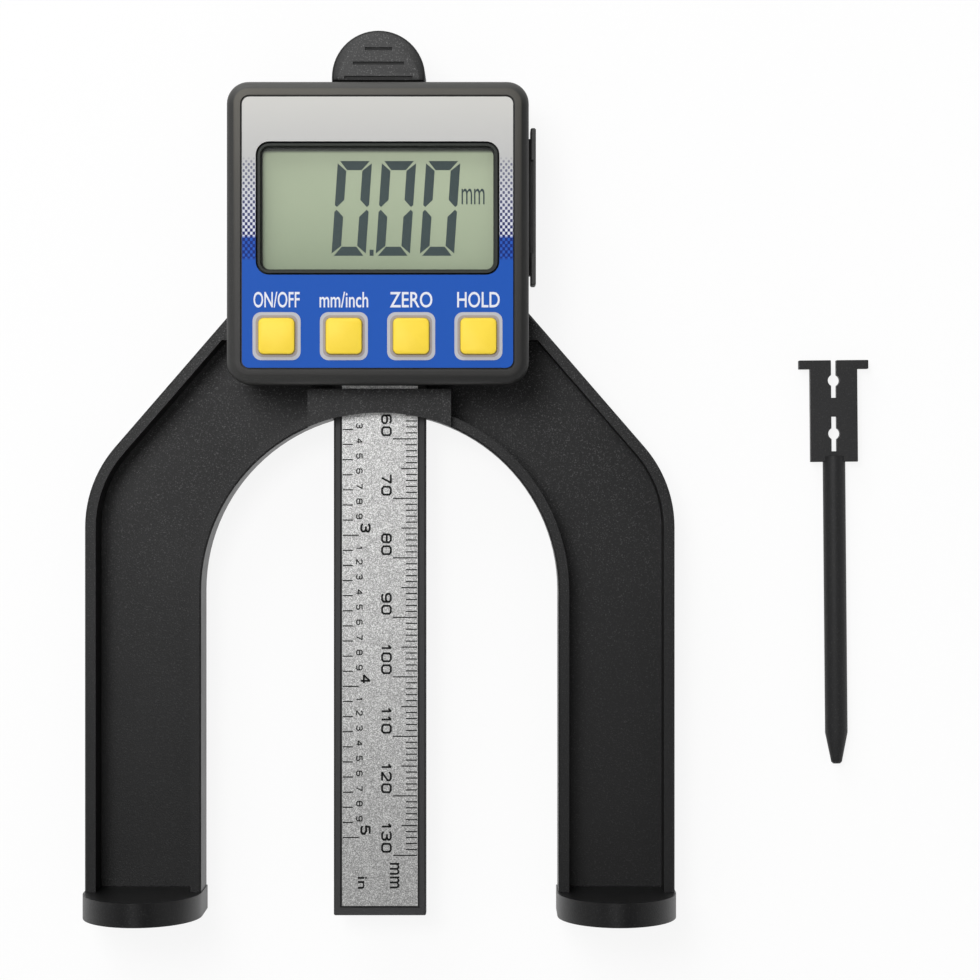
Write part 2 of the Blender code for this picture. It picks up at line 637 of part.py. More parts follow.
def case_loop(inset, radius):
    """The outline of the display unit, moved in by an inset."""
    width = CASE_WIDTH - 2 * inset
    length = CASE_LENGTH - 2 * inset
    return rounded_rectangle(0, CASE_CENTRE_HEIGHT, width, length, radius)


def button_places():
    first = -BUTTON_ROW_WIDTH / 2
    return [(first + index * BUTTON_PITCH, BUTTON_HEIGHT) for index in range(len(BUTTON_NAMES))]


def button_loop(x, height, margin):
    width = BUTTON_WIDTH + 2 * margin
    return rounded_rectangle(x, height, width, width, BUTTON_CORNER_RADIUS + margin)


def display_loop(margin):
    width = DISPLAY_WIDTH + 2 * margin
    height = DISPLAY_TOP - DISPLAY_BOTTOM + 2 * margin
    middle = (DISPLAY_TOP + DISPLAY_BOTTOM) / 2
    return rounded_rectangle(0, middle, width, height, DISPLAY_CORNER_RADIUS + margin)


def make_front_case():
    outline = case_loop(0, CASE_CORNER_RADIUS)
    case = plate("front_case", [outline], FRONT_CASE_BACK, FRONT_CASE_FRONT, CASE_PLASTIC)
    soften_front(case, CASE_EDGE_RADIUS, CASE_EDGE_STEPS)
    hollow = case_loop(CASE_WALL, CASE_CORNER_RADIUS - CASE_WALL)
    cut(case, plate("case_hollow", [hollow], FRONT_CASE_BACK - CUT_OVERRUN, FRONT_PANEL_BACK))
    recess = case_loop(FACEPLATE_INSET - SEAT_GAP, FACEPLATE_CORNER_RADIUS + SEAT_GAP)
    cut(case, plate("faceplate_recess", [recess], PANEL_RECESS_FLOOR, FRONT_CASE_FRONT + CUT_OVERRUN))
    low = FRONT_PANEL_BACK - CUT_OVERRUN
    high = FRONT_CASE_FRONT + CUT_OVERRUN
    cut(case, plate("display_opening", [display_loop(0)], low, high))
    for x, height in button_places():
        cut(case, plate("button_opening", [button_loop(x, height, SLIDE_GAP)], low, high))
    for x, height in screw_places():
        length = FRONT_PANEL_BACK + SEAT_GAP - FRONT_CASE_BACK
        centre = (x, height, FRONT_CASE_BACK + length / 2)
        join(case, cylinder("case_boss", CASE_BOSS_RADIUS, length, centre, sides=HOLE_SIDES))
        depth = CASE_SCREW_REACH + SEAT_GAP + CUT_OVERRUN
        centre = (x, height, FRONT_CASE_BACK - CUT_OVERRUN + depth / 2)
        cut(case, cylinder("boss_hole", SCREW_HOLE_RADIUS, depth, centre, sides=HOLE_SIDES))
    half = DRAWER_END_RADIUS + SLIDE_GAP
    low = (CASE_WIDTH / 2 - CASE_WALL - CUT_OVERRUN / 2, DRAWER_HEIGHT - half, ON_BOARD - SLIDE_GAP)
    high = (CASE_WIDTH / 2 + CUT_OVERRUN, DRAWER_HEIGHT + half, CELL_FRONT + SLIDE_GAP)
    cut(case, block("drawer_slot", low, high))


def make_rear_case():
    outline = case_loop(0, CASE_CORNER_RADIUS)
    rear = plate("rear_case", [outline], REAR_CASE_BACK, REAR_CASE_FRONT, CASE_PLASTIC)
    low = REAR_CASE_BACK - CUT_OVERRUN
    high = REAR_CASE_FRONT + CUT_OVERRUN
    middle = SENSOR_WINDOW_LENGTH / 2
    low_corner = (-SENSOR_WINDOW_WIDTH / 2, CASE_CENTRE_HEIGHT - middle, low)
    high_corner = (SENSOR_WINDOW_WIDTH / 2, CASE_CENTRE_HEIGHT + middle, high)
    cut(rear, block("sensor_window", low_corner, high_corner))
    for x, height in screw_places():
        centre = (x, height, (low + high) / 2)
        cut(rear, cylinder("rear_case_hole", SCREW_HOLE_RADIUS, high - low, centre, sides=HOLE_SIDES))


def make_faceplate():
    outer = case_loop(FACEPLATE_INSET, FACEPLATE_CORNER_RADIUS)
    holes = [button_loop(x, height, SLIDE_GAP) for x, height in button_places()]
    plate("faceplate", [outer, display_loop(0), *holes], FACEPLATE_BACK, FRONT_CASE_FRONT, FACEPLATE_FILM)


def make_display():
    inner = -SEAT_GAP - SURROUND_BORDER
    neck = [display_loop(-SEAT_GAP), display_loop(inner)]
    surround = plate("display_surround", neck, SURROUND_BACK, SURROUND_FRONT, MASK_PLASTIC)
    flange = [display_loop(SURROUND_FLANGE_WIDTH), display_loop(inner - SEAT_GAP)]
    flange_front = SURROUND_BACK + SURROUND_FLANGE_THICKNESS
    join(surround, plate("surround_flange", flange, SURROUND_BACK, flange_front))
    window_back = flange_front + SEAT_GAP
    window = display_loop(inner - SEAT_GAP)
    plate("display_window", [window], window_back, window_back + WINDOW_THICKNESS, CLEAR_ACRYLIC)
    bottom = DISPLAY_BOTTOM - PANEL_BOTTOM_MARGIN
    low = (-PANEL_WIDTH / 2, bottom, DISPLAY_PANEL_BACK)
    high = (PANEL_WIDTH / 2, DISPLAY_TOP + PANEL_TOP_MARGIN, DISPLAY_PANEL_FRONT)
    block("display_panel", low, high, DISPLAY_GLASS)
    end = PANEL_WIDTH / 2 - STRIP_END_MARGIN
    low = (-end, bottom + STRIP_INSET, ON_BOARD)
    high = (end, bottom + STRIP_INSET + STRIP_THICKNESS, DISPLAY_PANEL_BACK - SEAT_GAP)
    block("contact_strip", low, high, STRIP_RUBBER)


def make_board():
    outline = case_loop(CASE_WALL + SEAT_GAP, CASE_CORNER_RADIUS - CASE_WALL)
    board = plate("circuit_board", [outline], BOARD_BACK, BOARD_FRONT, BOARD_LAMINATE)
    for x, height in screw_places():
        centre = (x, height, BOARD_BACK + BOARD_THICKNESS / 2)
        length = BOARD_THICKNESS + CUT_OVERRUN
        cut(board, cylinder("board_notch", CASE_BOSS_RADIUS + SEAT_GAP, length, centre, sides=HOLE_SIDES))
    left = -CASE_WIDTH / 2 + CHIP_FROM_CASE_SIDE
    low = (left, DRAWER_HEIGHT - CHIP_WIDTH / 2, ON_BOARD)
    high = (left + CHIP_WIDTH, DRAWER_HEIGHT + CHIP_WIDTH / 2, ON_BOARD + CHIP_THICKNESS)
    block("controller_chip", low, high, CHIP_EPOXY)


def switch_mesh():
    """A square switch body with a smaller square plunger on top."""
    shape = bmesh.new()
    bmesh.ops.create_cube(shape, size=1)
    bmesh.ops.scale(shape, vec=(SWITCH_WIDTH, SWITCH_WIDTH, SWITCH_BODY_HEIGHT), verts=shape.verts)
    bmesh.ops.translate(shape, vec=(0, 0, SWITCH_BODY_HEIGHT / 2), verts=shape.verts)
    top = max(shape.faces, key=lambda face: face.calc_center_median().z)
    margin = (SWITCH_WIDTH - SWITCH_PLUNGER_WIDTH) / 2
    bmesh.ops.inset_individual(shape, faces=[top], thickness=margin)
    raised = bmesh.ops.extrude_face_region(shape, geom=[top])
    moved = [item for item in raised["geom"] if isinstance(item, bmesh.types.BMVert)]
    bmesh.ops.translate(shape, vec=(0, 0, SWITCH_PLUNGER_HEIGHT), verts=moved)
    bmesh.ops.delete(shape, geom=[top], context="FACES_ONLY")
    bmesh.ops.recalc_face_normals(shape, faces=shape.faces)
    mesh = bpy.data.meshes.new("switch")
    shape.to_mesh(mesh)
    shape.free()
    return mesh


def button_mesh():
    """A square cap with a flange under the front panel and a stem above the switch."""
    flange_front = FRONT_PANEL_BACK - SEAT_GAP
    flange_back = flange_front - BUTTON_FLANGE_THICKNESS
    switch_top = ON_BOARD + SWITCH_BODY_HEIGHT + SWITCH_PLUNGER_HEIGHT
    stem_back = switch_top + BUTTON_TRAVEL + SLIDE_GAP
    cap_front = FRONT_CASE_FRONT + BUTTON_PROUD
    cap = plate("button_cap", [button_loop(0, 0, 0)], flange_back, cap_front)
    soften_front(cap, BUTTON_EDGE_RADIUS, BUTTON_EDGE_STEPS)
    flange_loop = button_loop(0, 0, SLIDE_GAP + BUTTON_FLANGE_MARGIN)
    join(cap, plate("button_flange", [flange_loop], flange_back, flange_front))
    half = BUTTON_STEM_WIDTH / 2
    join(cap, block("button_stem", (-half, -half, stem_back), (half, half, flange_front)))
    return finished_mesh(cap, "button")


def make_buttons():
    switch = switch_mesh()
    button = button_mesh()
    for name, (x, height) in zip(BUTTON_NAMES, button_places()):
        place(name + "_switch", switch, CHIP_EPOXY, location=(x, height, ON_BOARD))
        place(name + "_button", button, BUTTON_RUBBER, location=(x, height, 0))


# Battery drawer


def drawer_outline():
    """A tray with a round inner end, from the coin cell to just outside the case wall."""
    outside = CASE_WIDTH / 2 + SEAT_GAP + DRAWER_FACE_THICKNESS / 2
    bottom = DRAWER_HEIGHT - DRAWER_END_RADIUS
    top = DRAWER_HEIGHT + DRAWER_END_RADIUS
    end = arc(CELL_X, DRAWER_HEIGHT, DRAWER_END_RADIUS, math.pi / 2, math.pi * 3 / 2)
    return [*end, (outside, bottom), (outside, top)]


def make_drawer():
    drawer = plate("battery_drawer", [drawer_outline()], ON_BOARD, CELL_FRONT, CASE_PLASTIC)
    inner = CASE_WIDTH / 2 + SEAT_GAP
    outer = inner + DRAWER_FACE_THICKNESS
    middle = (ON_BOARD + CELL_FRONT) / 2
    half_length = DRAWER_END_RADIUS + DRAWER_FACE_END_LIP
    half_height = (CELL_FRONT - ON_BOARD) / 2 + DRAWER_FACE_SIDE_LIP
    low = (inner, DRAWER_HEIGHT - half_length, middle - half_height)
    high = (outer, DRAWER_HEIGHT + half_length, middle + half_height)
    face = block("drawer_face", low, high)
    edges = face.modifiers.new("edges", "BEVEL")
    edges.width = DRAWER_FACE_EDGE_RADIUS
    edges.segments = PLAIN_EDGE_STEPS
    join(drawer, face)
    pocket_depth = CELL_THICKNESS + SEAT_GAP + CUT_OVERRUN
    pocket_centre = (CELL_X, DRAWER_HEIGHT, CELL_BACK - SEAT_GAP + pocket_depth / 2)
    cut(drawer, cylinder("cell_pocket", CELL_RADIUS + SEAT_GAP, pocket_depth, pocket_centre, sides=CELL_SIDES))
    half_slot = DRAWER_SLOT_WIDTH / 2
    slot_start = CELL_X - DRAWER_END_RADIUS
    low = (slot_start - CUT_OVERRUN, DRAWER_HEIGHT - half_slot, ON_BOARD - CUT_OVERRUN)
    high = (slot_start + DRAWER_SLOT_LENGTH, DRAWER_HEIGHT + half_slot, CELL_FRONT + CUT_OVERRUN)
    cut(drawer, block("contact_slot", low, high))
    half_notch = FINGER_NOTCH_LENGTH / 2
    low = (inner - CUT_OVERRUN / 2, DRAWER_HEIGHT - half_notch, CELL_FRONT)
    high = (inner + FINGER_NOTCH_DEPTH, DRAWER_HEIGHT + half_notch, middle + half_height + CUT_OVERRUN)
    cut(drawer, block("finger_notch", low, high))


def make_coin_cell():
    """A steel can whose lower rim steps in to the insulated cap."""
    top = CELL_THICKNESS
    step = CELL_RIM_STEP
    cap = CELL_RADIUS - step
    profile = [(0, top), (CELL_RADIUS, top), (CELL_RADIUS, step), (cap, step / 2), (cap, 0), (0, 0)]
    centre = (CELL_X, DRAWER_HEIGHT, CELL_BACK)
    turn(place("coin_cell", turned_mesh("coin_cell", profile), PLATED_STEEL, centre), CELL_SIDES)


def make_contacts():
    """Two leaves on the board: one under the coin cell, and one that stands at its rim."""
    base = ON_BOARD + CONTACT_METAL / 2
    under = [(0, 0), (CONTACT_FOOT_LENGTH, 0), (CONTACT_LEAF_LENGTH, CONTACT_LEAF_RISE)]
    middle = (CELL_X - CONTACT_LEAF_LENGTH, DRAWER_HEIGHT, base)
    leaf("negative_contact", under, CONTACT_WIDTH, CONTACT_METAL, PLATED_STEEL, middle)
    rim = CELL_X - CELL_RADIUS - SEAT_GAP - CONTACT_METAL
    beside = [(-CONTACT_FOOT_LENGTH, 0), (0, 0), (0, CELL_BACK - ON_BOARD + CELL_THICKNESS / 2)]
    leaf("positive_contact", beside, CONTACT_WIDTH, CONTACT_METAL, PLATED_STEEL, (rim, DRAWER_HEIGHT, base))


# Beam


def cut_clip_pocket(beam, floor):
    """The T-shaped pocket in the back of the beam that takes the clip head of the depth pin."""
    top = PIN_HEAD_LENGTH + SEAT_GAP
    bar_bottom = PIN_HEAD_LENGTH - PIN_BAR_LENGTH - SEAT_GAP
    for width, bottom in ((PIN_HEAD_WIDTH, -CUT_OVERRUN), (PIN_BAR_WIDTH, bar_bottom)):
        half = width / 2 + SEAT_GAP
        cut(beam, block("clip_pocket", (-half, bottom, BEAM_BACK - CUT_OVERRUN), (half, top, floor)))


def make_beam():
    half = BEAM_WIDTH / 2
    outline = [(-half, 0), (half, 0), *arc(0, TAB_CENTRE_HEIGHT, half, 0, math.pi)]
    beam = plate("beam", [outline], BEAM_BACK, BEAM_FRONT, BEAM_PLASTIC)
    soften_front(beam, BEAM_EDGE_RADIUS, PLAIN_EDGE_STEPS)
    side = SCALE_PLATE_WIDTH / 2 + SEAT_GAP
    low = (-side, SCALE_PLATE_END_MARGIN - SEAT_GAP, BEAM_FRONT - SCALE_PLATE_THICKNESS - SEAT_GAP)
    high = (side, TAB_BOTTOM_HEIGHT, BEAM_FRONT + CUT_OVERRUN)
    cut(beam, block("scale_recess", low, high))
    cut_clip_pocket(beam, BEAM_BACK + PIN_POCKET_DEPTH)
    for from_top in (UPPER_KEYHOLE_FROM_TOP, LOWER_KEYHOLE_FROM_TOP):
        length = PIN_HEAD_THICKNESS + CLIP_PEG_ROOT
        centre = (0, PIN_HEAD_LENGTH - from_top, BEAM_BACK + SEAT_GAP + length / 2)
        join(beam, cylinder("clip_peg", KEYHOLE_RADIUS - CLIP_PEG_CLEARANCE, length, centre, sides=PEG_SIDES))
    head = TAB_SCREW_HEAD_RADIUS + SEAT_GAP
    hole = TAB_SCREW_RADIUS + SEAT_GAP
    seat = BEAM_BACK + SCREW_HEAD_RECESS + TAB_SCREW_HEAD_HEIGHT + SEAT_GAP
    top = BEAM_FRONT + CUT_OVERRUN
    bottom = BEAM_BACK - CUT_OVERRUN
    profile = [(0, top), (hole, top), (hole, seat), (head, seat), (head, bottom), (0, bottom)]
    mesh = turned_mesh("tab_screw_hole", profile)
    cut(beam, turn(place("tab_screw_hole", mesh, location=(0, TAB_SCREW_HEIGHT, 0))))


def make_scale_plate():
    low = (-SCALE_PLATE_WIDTH / 2, SCALE_PLATE_END_MARGIN, BEAM_FRONT - SCALE_PLATE_THICKNESS)
    high = (SCALE_PLATE_WIDTH / 2, TAB_BOTTOM_HEIGHT - SEAT_GAP, BEAM_FRONT)
    block("scale_plate", low, high, SCALE_STEEL)


def make_pull_tab():
    """A half-round grip that stands on the beam and meets the top of the display unit at zero."""
    half = BEAM_WIDTH / 2
    bottom = TAB_BOTTOM_HEIGHT
    outline = [(-half, bottom), (half, bottom), *arc(0, TAB_CENTRE_HEIGHT, half, 0, math.pi)]
    tab = plate("pull_tab", [outline], TAB_BACK, TAB_FRONT, CASE_PLASTIC)
    soften_front(tab, TAB_EDGE_RADIUS, TAB_EDGE_STEPS)
    for index, length in enumerate(TAB_GROOVE_LENGTHS):
        height = bottom + TAB_GROOVE_START + index * TAB_GROOVE_PITCH
        low = (-length / 2, height - TAB_GROOVE_WIDTH / 2, TAB_FRONT - TAB_GROOVE_DEPTH)
        high = (length / 2, height + TAB_GROOVE_WIDTH / 2, TAB_FRONT + CUT_OVERRUN)
        cut(tab, block("tab_groove", low, high))
    depth = TAB_SCREW_REACH + SEAT_GAP + CUT_OVERRUN
    centre = (0, TAB_SCREW_HEIGHT, TAB_BACK - CUT_OVERRUN + depth / 2)
    cut(tab, cylinder("tab_screw_socket", TAB_SCREW_RADIUS + SEAT_GAP, depth, centre, sides=HOLE_SIDES))


# Screws


def screw_profile(head_radius, head_height, radius, length, chamfer):
    """A pan head that faces down at zero, and a plain shank that ends in a short cone."""
    shank = [(0, length), (radius - chamfer, length), (radius, length - chamfer), (radius, head_height)]
    head = [(head_radius, head_height), (head_radius, chamfer), (head_radius - chamfer, 0), (0, 0)]
    return shank + head


def make_screws():
    length = FRONT_CASE_BACK + CASE_SCREW_REACH - SCREW_HEAD_RECESS
    head = (CASE_SCREW_HEAD_RADIUS, CASE_SCREW_HEAD_HEIGHT)
    mesh = turned_mesh("case_screw", screw_profile(*head, CASE_SCREW_RADIUS, length, CASE_SCREW_TIP))
    names = ("lower_left", "lower_right", "upper_left", "upper_right")
    for name, (x, height) in zip(names, screw_places()):
        screw = place(name + "_case_screw", mesh, PLATED_STEEL, (x, height, SCREW_HEAD_RECESS))
        turn(screw, SCREW_SIDES)
    base = BEAM_BACK + SCREW_HEAD_RECESS
    length = BEAM_FRONT + SEAT_GAP + TAB_SCREW_REACH - base
    head = (TAB_SCREW_HEAD_RADIUS, TAB_SCREW_HEAD_HEIGHT)
    mesh = turned_mesh("tab_screw", screw_profile(*head, TAB_SCREW_RADIUS, length, TAB_SCREW_TIP))
    turn(place("tab_screw", mesh, PLATED_STEEL, (0, TAB_SCREW_HEIGHT, base)), SCREW_SIDES)


# Depth pin


def keyhole_side(centre, low, high):
    """The right-hand edge of a round hole with a narrow slot through it, from low to high."""
    slot = KEYHOLE_SLOT_WIDTH / 2
    meets = math.acos(slot / KEYHOLE_RADIUS)
    return [(slot, low), *arc(0, centre, KEYHOLE_RADIUS, -meets, meets), (slot, high)]


def pin_head_loops():
    """The clip head, measured down from its top: an open keyhole above and a closed keyhole below."""
    upper = keyhole_side(-UPPER_KEYHOLE_FROM_TOP, -UPPER_SLOT_END_FROM_TOP, 0)
    lower = keyhole_side(-LOWER_KEYHOLE_FROM_TOP, -LOWER_SLOT_END_FROM_TOP, -LOWER_SLOT_START_FROM_TOP)
    bar = PIN_BAR_WIDTH / 2
    neck = PIN_HEAD_WIDTH / 2
    side = [(neck, -PIN_HEAD_LENGTH), (neck, -PIN_BAR_LENGTH), (bar, -PIN_BAR_LENGTH), (bar, 0)]
    outer = side + list(reversed(upper)) + mirrored(list(reversed(upper))) + mirrored(side)
    return [outer, lower + mirrored(lower)]


def make_depth_pin():
    back = PIN_ROD_RADIUS - PIN_HEAD_THICKNESS / 2
    pin = plate("depth_pin", pin_head_loops(), back, back + PIN_HEAD_THICKNESS, FRAME_PLASTIC)
    pin.location = (PIN_X, PIN_TOP_HEIGHT, PIN_ROD_RADIUS)
    pin.rotation_euler = (0, 0, PIN_TURN)
    start = -PIN_HEAD_LENGTH + PIN_ROD_OVERLAP
    taper = -PIN_LENGTH + PIN_TAPER_LENGTH
    end = -PIN_LENGTH
    shank = [(0, start), (PIN_ROD_RADIUS, start), (PIN_ROD_RADIUS, taper)]
    tip = [(PIN_TIP_RADIUS, end + PIN_TIP_ROUNDING), (PIN_TIP_RADIUS - PIN_TIP_ROUNDING, end), (0, end)]
    rod = turn(place("pin_rod", turned_mesh("pin_rod", shank + tip)))
    rod.location = pin.location
    rod.rotation_euler = (-math.pi / 2, 0, PIN_TURN)
    join(pin, rod)


make_frame()
make_magnets()
make_guide_spring()
make_front_case()
make_rear_case()
make_faceplate()
make_display()
make_board()
make_buttons()
make_drawer()
make_coin_cell()
make_contacts()
make_beam()
make_scale_plate()
make_pull_tab()
make_screws()
make_depth_pin()
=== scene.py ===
# Digital height and depth gauge, lying on its flat back beside its loose depth pin.
# Metres, +Z up out of the display, +Y from the feet towards the pull tab.

import json
import math

import bmesh
import bpy
from mathutils import Color, Matrix, Vector

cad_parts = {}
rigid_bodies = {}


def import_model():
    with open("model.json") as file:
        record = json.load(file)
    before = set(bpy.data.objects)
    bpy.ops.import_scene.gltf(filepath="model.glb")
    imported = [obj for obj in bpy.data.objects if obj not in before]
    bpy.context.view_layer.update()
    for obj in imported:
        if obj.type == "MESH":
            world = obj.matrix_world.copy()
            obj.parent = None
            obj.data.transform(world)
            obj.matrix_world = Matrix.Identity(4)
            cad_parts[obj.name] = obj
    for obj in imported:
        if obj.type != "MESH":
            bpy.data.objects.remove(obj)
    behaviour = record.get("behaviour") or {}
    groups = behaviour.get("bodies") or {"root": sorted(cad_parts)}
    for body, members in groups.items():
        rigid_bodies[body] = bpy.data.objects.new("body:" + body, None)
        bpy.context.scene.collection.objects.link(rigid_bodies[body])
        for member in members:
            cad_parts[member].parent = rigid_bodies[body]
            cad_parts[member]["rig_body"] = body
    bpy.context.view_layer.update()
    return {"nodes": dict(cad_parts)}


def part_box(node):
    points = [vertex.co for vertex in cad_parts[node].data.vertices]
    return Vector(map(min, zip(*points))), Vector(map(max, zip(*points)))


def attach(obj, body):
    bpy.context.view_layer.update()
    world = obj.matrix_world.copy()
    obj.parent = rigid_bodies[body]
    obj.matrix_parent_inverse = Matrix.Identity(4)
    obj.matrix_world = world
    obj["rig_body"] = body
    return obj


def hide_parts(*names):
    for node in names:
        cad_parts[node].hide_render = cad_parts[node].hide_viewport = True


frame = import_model()


# Studio: a white floor that keeps a faint shadow and curves up all round, under a dim grey sky.
# Soft lamps hang above and to the left, and the camera looks straight down through a long lens.

CAMERA_PLACE = Vector((0.0185, -0.0424, 0.580))
FOCAL_LENGTH_PIXELS = 3390
PICTURE_PIXELS = 980
LIT_CENTRE = Vector((0, -0.03, 0))
FLOOR_RADIUS = 2.5
FLOOR_CURVE_RADIUS = 1.0
FLOOR_CURVE_STEPS = 8
FLOOR_WALL_HEIGHT = 1.5
FLOOR_SIDES = 64
FLOOR_COLOUR = (0.95, 0.95, 0.95, 1)
FLOOR_GLOW_SHARE = 0.88
SKY_LIGHT = 0.40
WHITE = (1, 1, 1, 1)
KEY_LAMP = {"place": (-0.19, 0.19, 0.89), "size": 0.32, "power": 4.1}
TOP_LAMP = {"place": (-0.35, 0.85, 0.50), "size": 0.50, "power": 3.8}
PLATE_LAMP = {"place": (-0.045, -0.105, 1.0), "size": 0.14, "power": 0.3}


class Value:
    """A number that changes over a surface, so that shader maths reads as an expression."""

    def __init__(self, nodes, socket):
        self.nodes = nodes
        self.socket = socket

    def maths(self, operation, first, second):
        return self.nodes.add("ShaderNodeMath", {"operation": operation}, {0: first, 1: second})

    def __add__(self, other):
        return self.maths("ADD", self, other)

    def __radd__(self, other):
        return self.maths("ADD", other, self)

    def __sub__(self, other):
        return self.maths("SUBTRACT", self, other)

    def __rsub__(self, other):
        return self.maths("SUBTRACT", other, self)

    def __mul__(self, other):
        return self.maths("MULTIPLY", self, other)

    def __rmul__(self, other):
        return self.maths("MULTIPLY", other, self)

    def __gt__(self, other):
        return self.maths("GREATER_THAN", self, other)


class Nodes:
    """The nodes of one material."""

    FIRST_COLOUR = 6
    SECOND_COLOUR = 7
    MIXED_COLOUR = 2

    def __init__(self, tree):
        self.tree = tree

    def add(self, kind, settings, sockets, output=0):
        """Adds a node: its settings are set first, then the values or links of its sockets."""
        node = self.tree.nodes.new(kind)
        for name, value in settings.items():
            setattr(node, name, value)
        for key, value in sockets.items():
            self.feed(node.inputs[key], value)
        return Value(self, node.outputs[output])

    def feed(self, socket, value):
        if isinstance(value, Value):
            self.tree.links.new(value.socket, socket)
        else:
            socket.default_value = value

    def mix(self, share, first, second):
        """Lays the second colour over the first. The node's colour sockets go by number."""
        sockets = {"Factor": share, self.FIRST_COLOUR: first, self.SECOND_COLOUR: second}
        return self.add("ShaderNodeMix", {"data_type": "RGBA"}, sockets, output=self.MIXED_COLOUR)

    def seen_plainly(self):
        """1 for what the camera sees, straight or through gloss and glass, and 0 for bounced light."""
        rays = ("Is Camera Ray", "Is Glossy Ray", "Is Transmission Ray")
        camera, glossy, transmitted = (self.add("ShaderNodeLightPath", {}, {}, ray) for ray in rays)
        return (camera + glossy + transmitted) > 0.5


class Finish(Nodes):
    """A material with a plain shader whose sockets take numbers, colours or patterns."""

    def __init__(self, name, **constants):
        self.material = bpy.data.materials.new(name)
        self.material.use_nodes = True
        super().__init__(self.material.node_tree)
        self.shader = self.tree.nodes["Principled BSDF"]
        for socket, value in constants.items():
            self.shader.inputs[socket.replace("_", " ")].default_value = value

    def set(self, socket, value):
        self.feed(self.shader.inputs[socket], value)

    def place(self):
        return self.add("ShaderNodeTexCoord", {}, {}, "Object")

    def along(self, place):
        """The X, Y and Z of a place as three numbers."""
        return [self.add("ShaderNodeSeparateXYZ", {}, {"Vector": place}, axis) for axis in "XYZ"]

    def noise(self, place, size, detail=2, roughness=0.5):
        """Noise whose clumps are about one size across."""
        sockets = {"Vector": place, "Scale": 1 / size, "Detail": detail, "Roughness": roughness}
        return self.add("ShaderNodeTexNoise", {}, sockets)

    def rise(self, value, low, high):
        """0 up to low, 1 from high on, and even in between."""
        return self.add("ShaderNodeMapRange", {}, {"Value": value, "From Min": low, "From Max": high})

    def present(self, socket):
        """What feeds a socket now, so that more can be laid over it."""
        return Value(self, self.shader.inputs[socket].links[0].from_socket)

    def roughen(self, pattern, middle, spread):
        """Roughness that follows a pattern of 0 to 1, above and below its middle."""
        self.set("Roughness", pattern * spread + (middle - spread / 2))

    def bump(self, height, depth):
        self.set("Normal", self.add("ShaderNodeBump", {}, {"Height": height, "Distance": depth}))


def put_in_scene(name, data):
    piece = bpy.data.objects.new(name, data)
    bpy.context.scene.collection.objects.link(piece)
    return piece


def soft_lamp(name, lamp):
    light = bpy.data.lights.new(name, "AREA")
    light.size = lamp["size"]
    light.energy = lamp["power"]
    shape = put_in_scene(name, light)
    shape.location = lamp["place"]
    shape.rotation_euler = (LIT_CENTRE - shape.location).to_track_quat("-Z", "Y").to_euler()


def raise_rim(shape, rim, growth, rise):
    """Carries the floor's rim on, outwards and upwards, and returns the new rim."""
    made = bmesh.ops.extrude_edge_only(shape, edges=rim)["geom"]
    corners = [item for item in made if isinstance(item, bmesh.types.BMVert)]
    bmesh.ops.scale(shape, vec=(growth, growth, 1), verts=corners)
    bmesh.ops.translate(shape, vec=(0, 0, rise), verts=corners)
    return [item for item in made if isinstance(item, bmesh.types.BMEdge)]


def make_floor():
    shape = bmesh.new()
    bmesh.ops.create_circle(shape, cap_ends=True, segments=FLOOR_SIDES, radius=FLOOR_RADIUS)
    rim = list(shape.edges)
    reach, height = FLOOR_RADIUS, 0
    for step in range(1, FLOOR_CURVE_STEPS + 1):
        angle = math.pi / 2 * step / FLOOR_CURVE_STEPS
        new_reach = FLOOR_RADIUS + FLOOR_CURVE_RADIUS * math.sin(angle)
        new_height = FLOOR_CURVE_RADIUS * (1 - math.cos(angle))
        rim = raise_rim(shape, rim, new_reach / reach, new_height - height)
        reach, height = new_reach, new_height
    raise_rim(shape, rim, 1, FLOOR_WALL_HEIGHT)
    bmesh.ops.recalc_face_normals(shape, faces=shape.faces)
    mesh = bpy.data.meshes.new("floor")
    shape.to_mesh(mesh)
    shape.free()
    mesh.shade_smooth()
    finish = Finish("white_floor", Roughness=0.9)
    finish.set("Base Color", FLOOR_COLOUR)
    glow = finish.add("ShaderNodeEmission", {}, {"Color": WHITE, "Strength": 1.0})
    share = finish.seen_plainly() * FLOOR_GLOW_SHARE
    lit = Value(finish, finish.shader.outputs[0])
    both = finish.add("ShaderNodeMixShader", {}, {0: share, 1: lit, 2: glow})
    finish.feed(finish.tree.nodes["Material Output"].inputs["Surface"], both)
    mesh.materials.append(finish.material)
    put_in_scene("floor", mesh)


def make_sky():
    world = bpy.data.worlds.new("sky")
    world.use_nodes = True
    bpy.context.scene.world = world
    background = world.node_tree.nodes["Background"]
    background.inputs["Color"].default_value = WHITE
    background.inputs["Strength"].default_value = SKY_LIGHT


def make_camera():
    camera = bpy.data.cameras.new("camera")
    camera.lens = camera.sensor_width * FOCAL_LENGTH_PIXELS / PICTURE_PIXELS
    viewpoint = put_in_scene("camera", camera)
    viewpoint.location = CAMERA_PLACE
    bpy.context.scene.camera = viewpoint


bpy.context.scene.view_settings.view_transform = "Standard"
make_floor()
make_sky()
soft_lamp("key_lamp", KEY_LAMP)
soft_lamp("top_lamp", TOP_LAMP)
soft_lamp("plate_lamp", PLATE_LAMP)
make_camera()


# Frame: an arch on two legs with raised rims, two flat feet and a collar that guides the beam.
# It is moulded in black glass-filled plastic with a fine spark-eroded grain.

